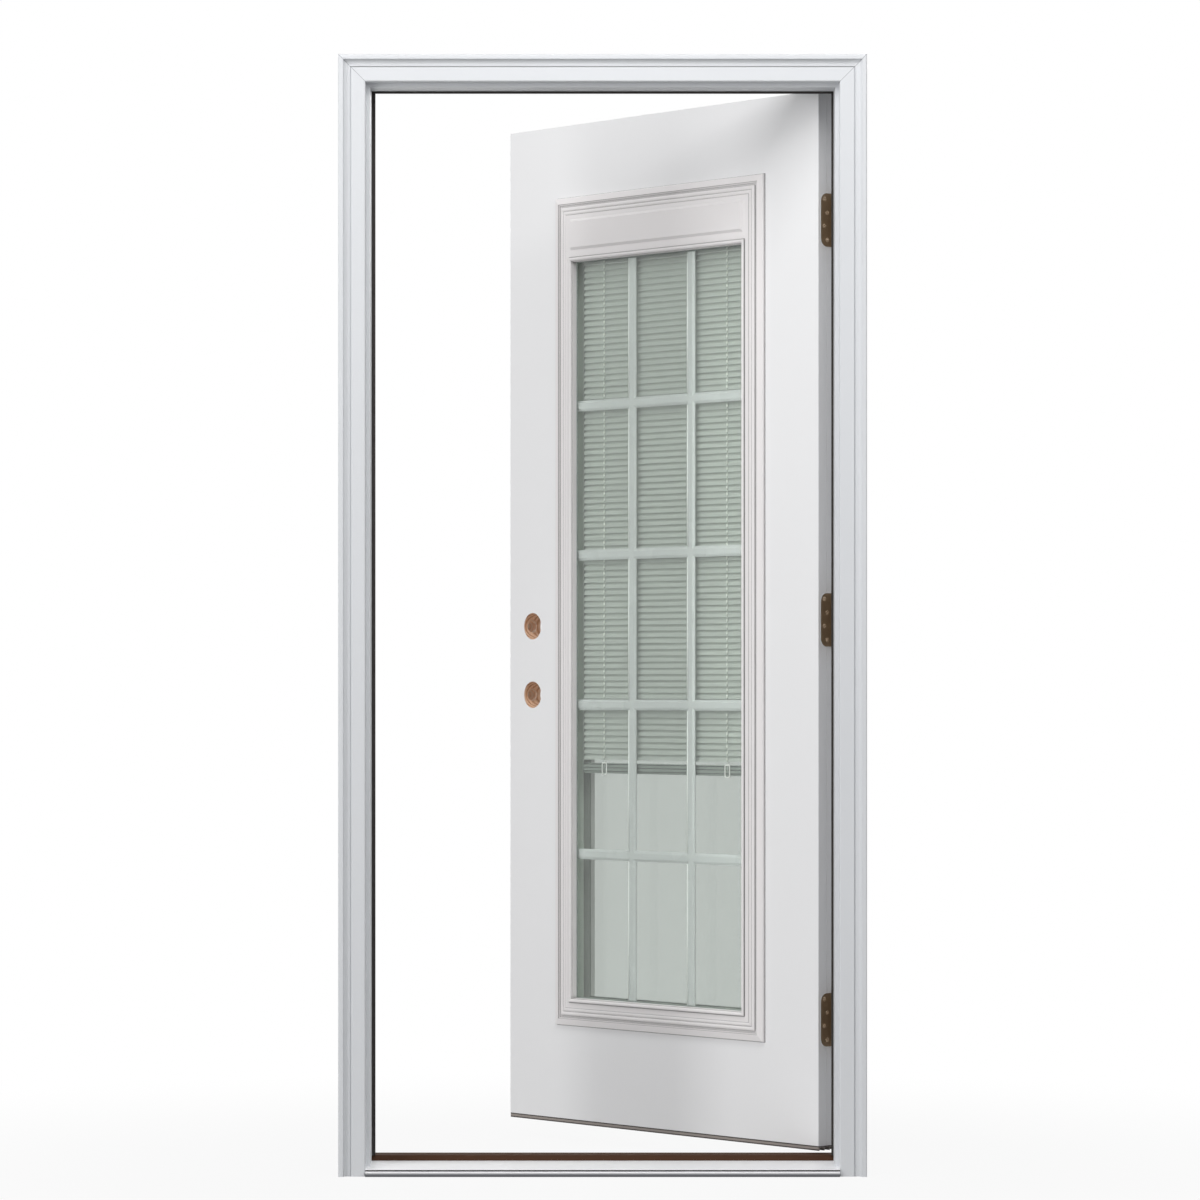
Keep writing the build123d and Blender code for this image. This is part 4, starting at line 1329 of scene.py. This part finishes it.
@dataclass
class Blind:
    """Slatted blind between the panes, its ladders, rail and operator."""

    opening_half: float = 248.62
    slat_end_gap: float = 3.8
    ladder_inset: float = 64.3
    depth: float = 23.2
    reach: float = 4.72
    pitch: float = 12.3
    tilt: float = 60.0
    rung_drop: float = 1.3
    rail_bottom: float = 744.0
    rail_height: float = 21.0
    rail_depth: float = 8.4
    slats: int = 86
    cord_radius: float = 0.35
    dash_radius: float = 1.6
    dash_height: float = 7.0
    end_radius: float = 0.8
    clip_width: float = 13.0
    clip_height: float = 24.0
    clip_radius: float = 1.3
    clip_drop: float = 1.5
    line_rise: float = 0.35
    line_levels: tuple[float, ...] = (4.4, 11.6, 18.2)
    line_height: float = 1.9

    @property
    def ladders(self) -> tuple[float, float]:
        """Where the two ladders hang, across the leaf."""
        half = self.opening_half - self.slat_end_gap - self.ladder_inset
        return (-half, half)

    def build(self) -> list[bpy.types.Object]:
        """Rungs, slat ends painted as highlights and ladder loops painted lit, and the clips and the painted
        groove shade of the bottom rail.
        """
        lit_cord = LIT_CORD.material()
        plastic = OPERATOR.material()
        rungs = self.rungs("blind_rungs", self.ladders, self.cord_radius, self.rung_drop)
        finish_piece(rungs, lit_cord, Body.LEAF)
        # Painted highlight: pale rods along both ends of every slat.
        edge = self.opening_half - self.slat_end_gap - self.end_radius
        ends = self.rungs("blind_slat_end_highlights", (-edge, edge), self.end_radius, 0.0)
        finish_piece(ends, SLAT_END_HIGHLIGHT.material(), Body.LEAF)
        dashes = self.dashes()
        finish_piece(dashes, lit_cord, Body.LEAF)
        clips = self.clips()
        finish_piece(clips, plastic, Body.LEAF)
        lines = self.groove_shade_lines()
        finish_piece(lines, RAIL_GROOVE_SHADE.material(), Body.LEAF)
        return [rungs, ends, dashes, clips, lines]

    def dashes(self) -> bpy.types.Object:
        """Loops where the front strand passes each slat, painted near white as its lit part: six-sided pods,
        radius sin(pi s).
        """
        s = np.linspace(0.08, 0.92, 5)[:, None]
        t = np.linspace(0, 2 * np.pi, 6, endpoint=False)[None, :]
        radius = self.dash_radius * np.sin(np.pi * s) ** 0.5
        across = radius * np.cos(t)
        depth = self.depth - self.reach - 0.3 + radius * np.sin(t)
        up = self.dash_height * (s - 0.5) + 0 * t
        parts = []
        base = self.rail_bottom + self.rail_height
        for ladder in self.ladders:
            for count in range(self.slats):
                level = base + (count + 1) * self.pitch
                parts.append(rod(LEAF.place(ladder + across, depth, level + up)))
        return gather("blind_ladder_loops", parts)

    def rungs(self, name: str, places: Sequence[float], radius: float, drop: float) -> bpy.types.Object:
        """Four-sided tubes along each slat's width, from its front edge to its back one.

        A tube's middle runs at depth = reach x s and up = reach x tan(tilt) x s - drop,
        for s from -1 to 1, and its section is a square ring round that line.

        Args:
            name: name of the piece.
            places: distances across at which the tubes lie on every slat.
            radius: half the tube's diagonal.
            drop: distance of the tubes under the slat's middle.

        Returns:
            The tubes as one object.
        """
        s = np.array([-1.0, 1.0])[:, None]
        t = np.array([0.25, 0.75, 1.25, 1.75])[None, :] * np.pi
        rise = self.reach * math.tan(math.radians(self.tilt))
        depth = self.depth + self.reach * s + 0 * t
        across = radius * np.cos(t) + 0 * s
        up = s * rise - drop + radius * np.sin(t)
        parts = []
        base = self.rail_bottom + self.rail_height
        for place in places:
            for count in range(self.slats):
                level = base + (count + 1) * self.pitch
                parts.append(rod(LEAF.place(place + across, depth, level + up)))
        return gather(name, parts)

    def clips(self) -> bpy.types.Object:
        """Clips round the bottom rail below each ladder: rounded rings of round wire.

        With c and s for the cosine and sine of t, the wire's middle lies at
        u = sign(c) |c|^0.35 and v = sign(s) |s|^0.35 of the half sizes, and a point of
        it at radius x (cos p, sin p) across the wire for p round its section.
        """
        t = np.linspace(0, 2 * np.pi, 49)[:, None]
        p = np.linspace(0, 2 * np.pi, 10, endpoint=False)[None, :]
        u = np.sign(np.cos(t)) * np.abs(np.cos(t)) ** 0.35
        v = np.sign(np.sin(t)) * np.abs(np.sin(t)) ** 0.35
        out = self.clip_radius * np.cos(p)
        front = self.depth - self.rail_depth / 2
        middle = self.rail_bottom + self.rail_height / 2 - self.clip_drop
        faces = grid_faces(49, 10, True)
        parts = []
        for ladder in self.ladders:
            across = ladder + u * (self.clip_width / 2 + out)
            up = middle + v * (self.clip_height / 2 + out)
            depth = front - self.clip_radius * (0.4 + np.sin(p)) + 0 * t
            parts.append((LEAF.place(across, depth, up).reshape(-1, 3), faces))
        return gather("blind_rail_clips", parts)

    def groove_shade_lines(self) -> bpy.types.Object:
        """Painted shade of the bottom rail's grooves: dark level lines on its outer face, low ridges, rise x
        sin(pi s).
        """
        s = np.linspace(0, 1, 6)[None, :]
        half = self.opening_half - self.slat_end_gap
        x = np.array([-half, half])[:, None]
        front = self.depth - self.rail_depth / 2
        bulge = self.line_rise * np.sin(np.pi * s) - 0.1
        parts = []
        for level in self.line_levels:
            up = self.rail_bottom + level + (s - 0.5) * self.line_height
            parts.append(rod(LEAF.place(x + 0 * s, front - bulge + 0 * x, up + 0 * x)))
        return gather("blind_rail_groove_shade", parts)

    def dress(self) -> None:
        """Finish the blind's own nodes."""
        slat = SLAT.material()
        plastic = OPERATOR.material()
        dress("blind_headrail", slat)
        dress("blind_slats", slat)
        dress("blind_bottom_rail", RAIL_ENAMEL.material())
        dress("blind_ladders", SHADED_STRAND.material())
        dress("blind_operator_track", plastic)
        dress("blind_operator_slider", plastic)


@dataclass(frozen=True)
class Lamp:
    """A soft square lamp: place, aim and side in metres, power in watts."""

    name: str
    place: tuple[float, float, float]
    aim: tuple[float, float, float]
    size: float
    power: float
    glossy: bool = True


LAMPS = (
    Lamp("key_lamp", (-6.2, -4.6, 2.4), (0.0, 0.3, 1.2), 4.0, 300.0, glossy=False),
    Lamp("front_right_lamp", (4.4, -4.0, 2.6), (0.3, 0.2, 1.0), 2.5, 60.0),
    Lamp("overhead_lamp", (0.0, -2.3, 3.9), (0.0, 0.0, 1.6), 2.0, 64.0),
    Lamp("rear_lamp", (2.0, 5.5, 3.5), (0.0, 0.3, 1.0), 3.0, 110.0),
)


@dataclass
class Studio:
    """Pale floor, soft lamps and the camera at the photograph's angle."""

    floor_radius: float = 9.0
    fade_start: float = 0.6
    fade_end: float = 2.4
    fade_base: float = 0.92
    floor_colour: Colour = (0.38, 0.38, 0.38, 1.0)
    world_level: float = 0.26
    focal_pixels: float = 4497.85
    sensor_width: float = 36.0
    image_size: float = 1200.0
    axis_x: float = 602.62
    axis_y: float = 684.87
    eye: tuple[float, float, float] = (0.0, -8.4546, 0.9217)

    def build_floor(self) -> bpy.types.Object:
        """A round floor: points at radius r and angle t, level at the sill's underside."""
        r = np.linspace(0.01, 1.0, 12)[:, None] ** 1.5 * self.floor_radius
        t = np.linspace(0, 2 * np.pi, 64, endpoint=False)[None, :]
        points = np.stack((r * np.cos(t), r * np.sin(t), 0 * r * t - 0.0005), axis=-1)
        floor = surface("studio_floor", points, wrap=True)
        floor.data.materials.append(self.floor_material())
        floor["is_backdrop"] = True
        return floor

    def floor_material(self) -> bpy.types.Material:
        """Pale floor that keeps the shadow near the door and turns white further off."""
        material, graph, output = new_material("studio_floor_paint")
        coords = graph.add("ShaderNodeTexCoord").outputs["Object"]
        distance = graph.add("ShaderNodeVectorMath", {"#0": coords}, operation="LENGTH")
        far = graph.ramp(
            distance.outputs["Value"], self.fade_start, self.fade_end, self.fade_base, 1.0
        )
        seen = graph.seen()
        share = graph.maths("MULTIPLY", far, seen)
        matt = graph.add("ShaderNodeBsdfDiffuse", {"Color": self.floor_colour})
        white = graph.add("ShaderNodeEmission", {"Color": (1, 1, 1, 1), "Strength": 1.0})
        mixed = graph.add(
            "ShaderNodeMixShader", {"#0": share, "#1": matt.outputs[0], "#2": white.outputs[0]}
        )
        graph.tree.links.new(mixed.outputs[0], output.inputs["Surface"])
        return material

    def build_world(self) -> None:
        """A plain world: white where it is seen, softer where it lights."""
        world = bpy.data.worlds.new("studio_world")
        world.use_nodes = True
        world.node_tree.nodes.clear()
        graph = Graph(world.node_tree)
        output = graph.add("ShaderNodeOutputWorld")
        seen = graph.seen()
        light = graph.add("ShaderNodeBackground", {"Color": (1, 1, 1, 1), "Strength": self.world_level})
        white = graph.add("ShaderNodeBackground", {"Color": (1, 1, 1, 1), "Strength": 1.0})
        mixed = graph.add(
            "ShaderNodeMixShader", {"#0": seen, "#1": light.outputs[0], "#2": white.outputs[0]}
        )
        graph.tree.links.new(mixed.outputs[0], output.inputs["Surface"])
        bpy.context.scene.world = world

    def add_lamp(self, lamp: Lamp) -> None:
        """Set up one lamp, turned from its place toward its aim."""
        data = bpy.data.lights.new(lamp.name, "AREA")
        data.shape = "SQUARE"
        data.size = lamp.size
        data.energy = lamp.power
        light = bpy.data.objects.new(lamp.name, data)
        light.visible_glossy = lamp.glossy
        bpy.context.scene.collection.objects.link(light)
        step = np.array(lamp.aim, float) - np.array(lamp.place, float)
        flat = math.hypot(step[0], step[1])
        light.location = lamp.place
        light.rotation_euler = (math.atan2(flat, -step[2]), 0.0, math.atan2(-step[0], step[1]))

    def build_camera(self) -> None:
        """The camera: level, looking along +Y, with a small shift for the framing."""
        data = bpy.data.cameras.new("camera")
        data.sensor_width = self.sensor_width
        data.lens = self.focal_pixels * self.sensor_width / self.image_size
        data.shift_x = (self.image_size / 2 - self.axis_x) / self.image_size
        data.shift_y = (self.axis_y - self.image_size / 2) / self.image_size
        data.clip_end = 100.0
        camera = bpy.data.objects.new("camera", data)
        bpy.context.scene.collection.objects.link(camera)
        camera.location = self.eye
        camera.rotation_euler = (math.radians(90), 0, 0)
        bpy.context.scene.camera = camera

    def build(self) -> None:
        """Set the stage."""
        bpy.context.scene.view_settings.view_transform = "Standard"
        self.build_camera()
        self.build_floor()
        self.build_world()
        for lamp in LAMPS:
            self.add_lamp(lamp)


def write_sizes() -> None:
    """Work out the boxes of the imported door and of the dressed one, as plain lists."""
    boxes = {"cad": plain(cad_box), "visual": plain(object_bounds())}


def plain(value: Any) -> Any:
    """Vectors and tuples as plain lists of numbers."""
    if isinstance(value, (int, float)):
        return float(value)
    return [plain(part) for part in value]


def main() -> None:
    """Build and dress each sub-assembly in order, and report it."""
    logging.basicConfig(level=logging.INFO, format="%(name)s %(message)s")
    Studio().build()
    log.info("studio")
    for part in (DoorFrame(), LeafSlab(), Hinges(), FullLite(), Blind()):
        part.dress()
        for piece in part.build():
            log.info("%s: %s with %d faces", type(part).__name__, piece.name, len(piece.data.polygons))
        log.info("%s dressed", type(part).__name__)
    write_sizes()


if __name__ == "__main__":
    main()
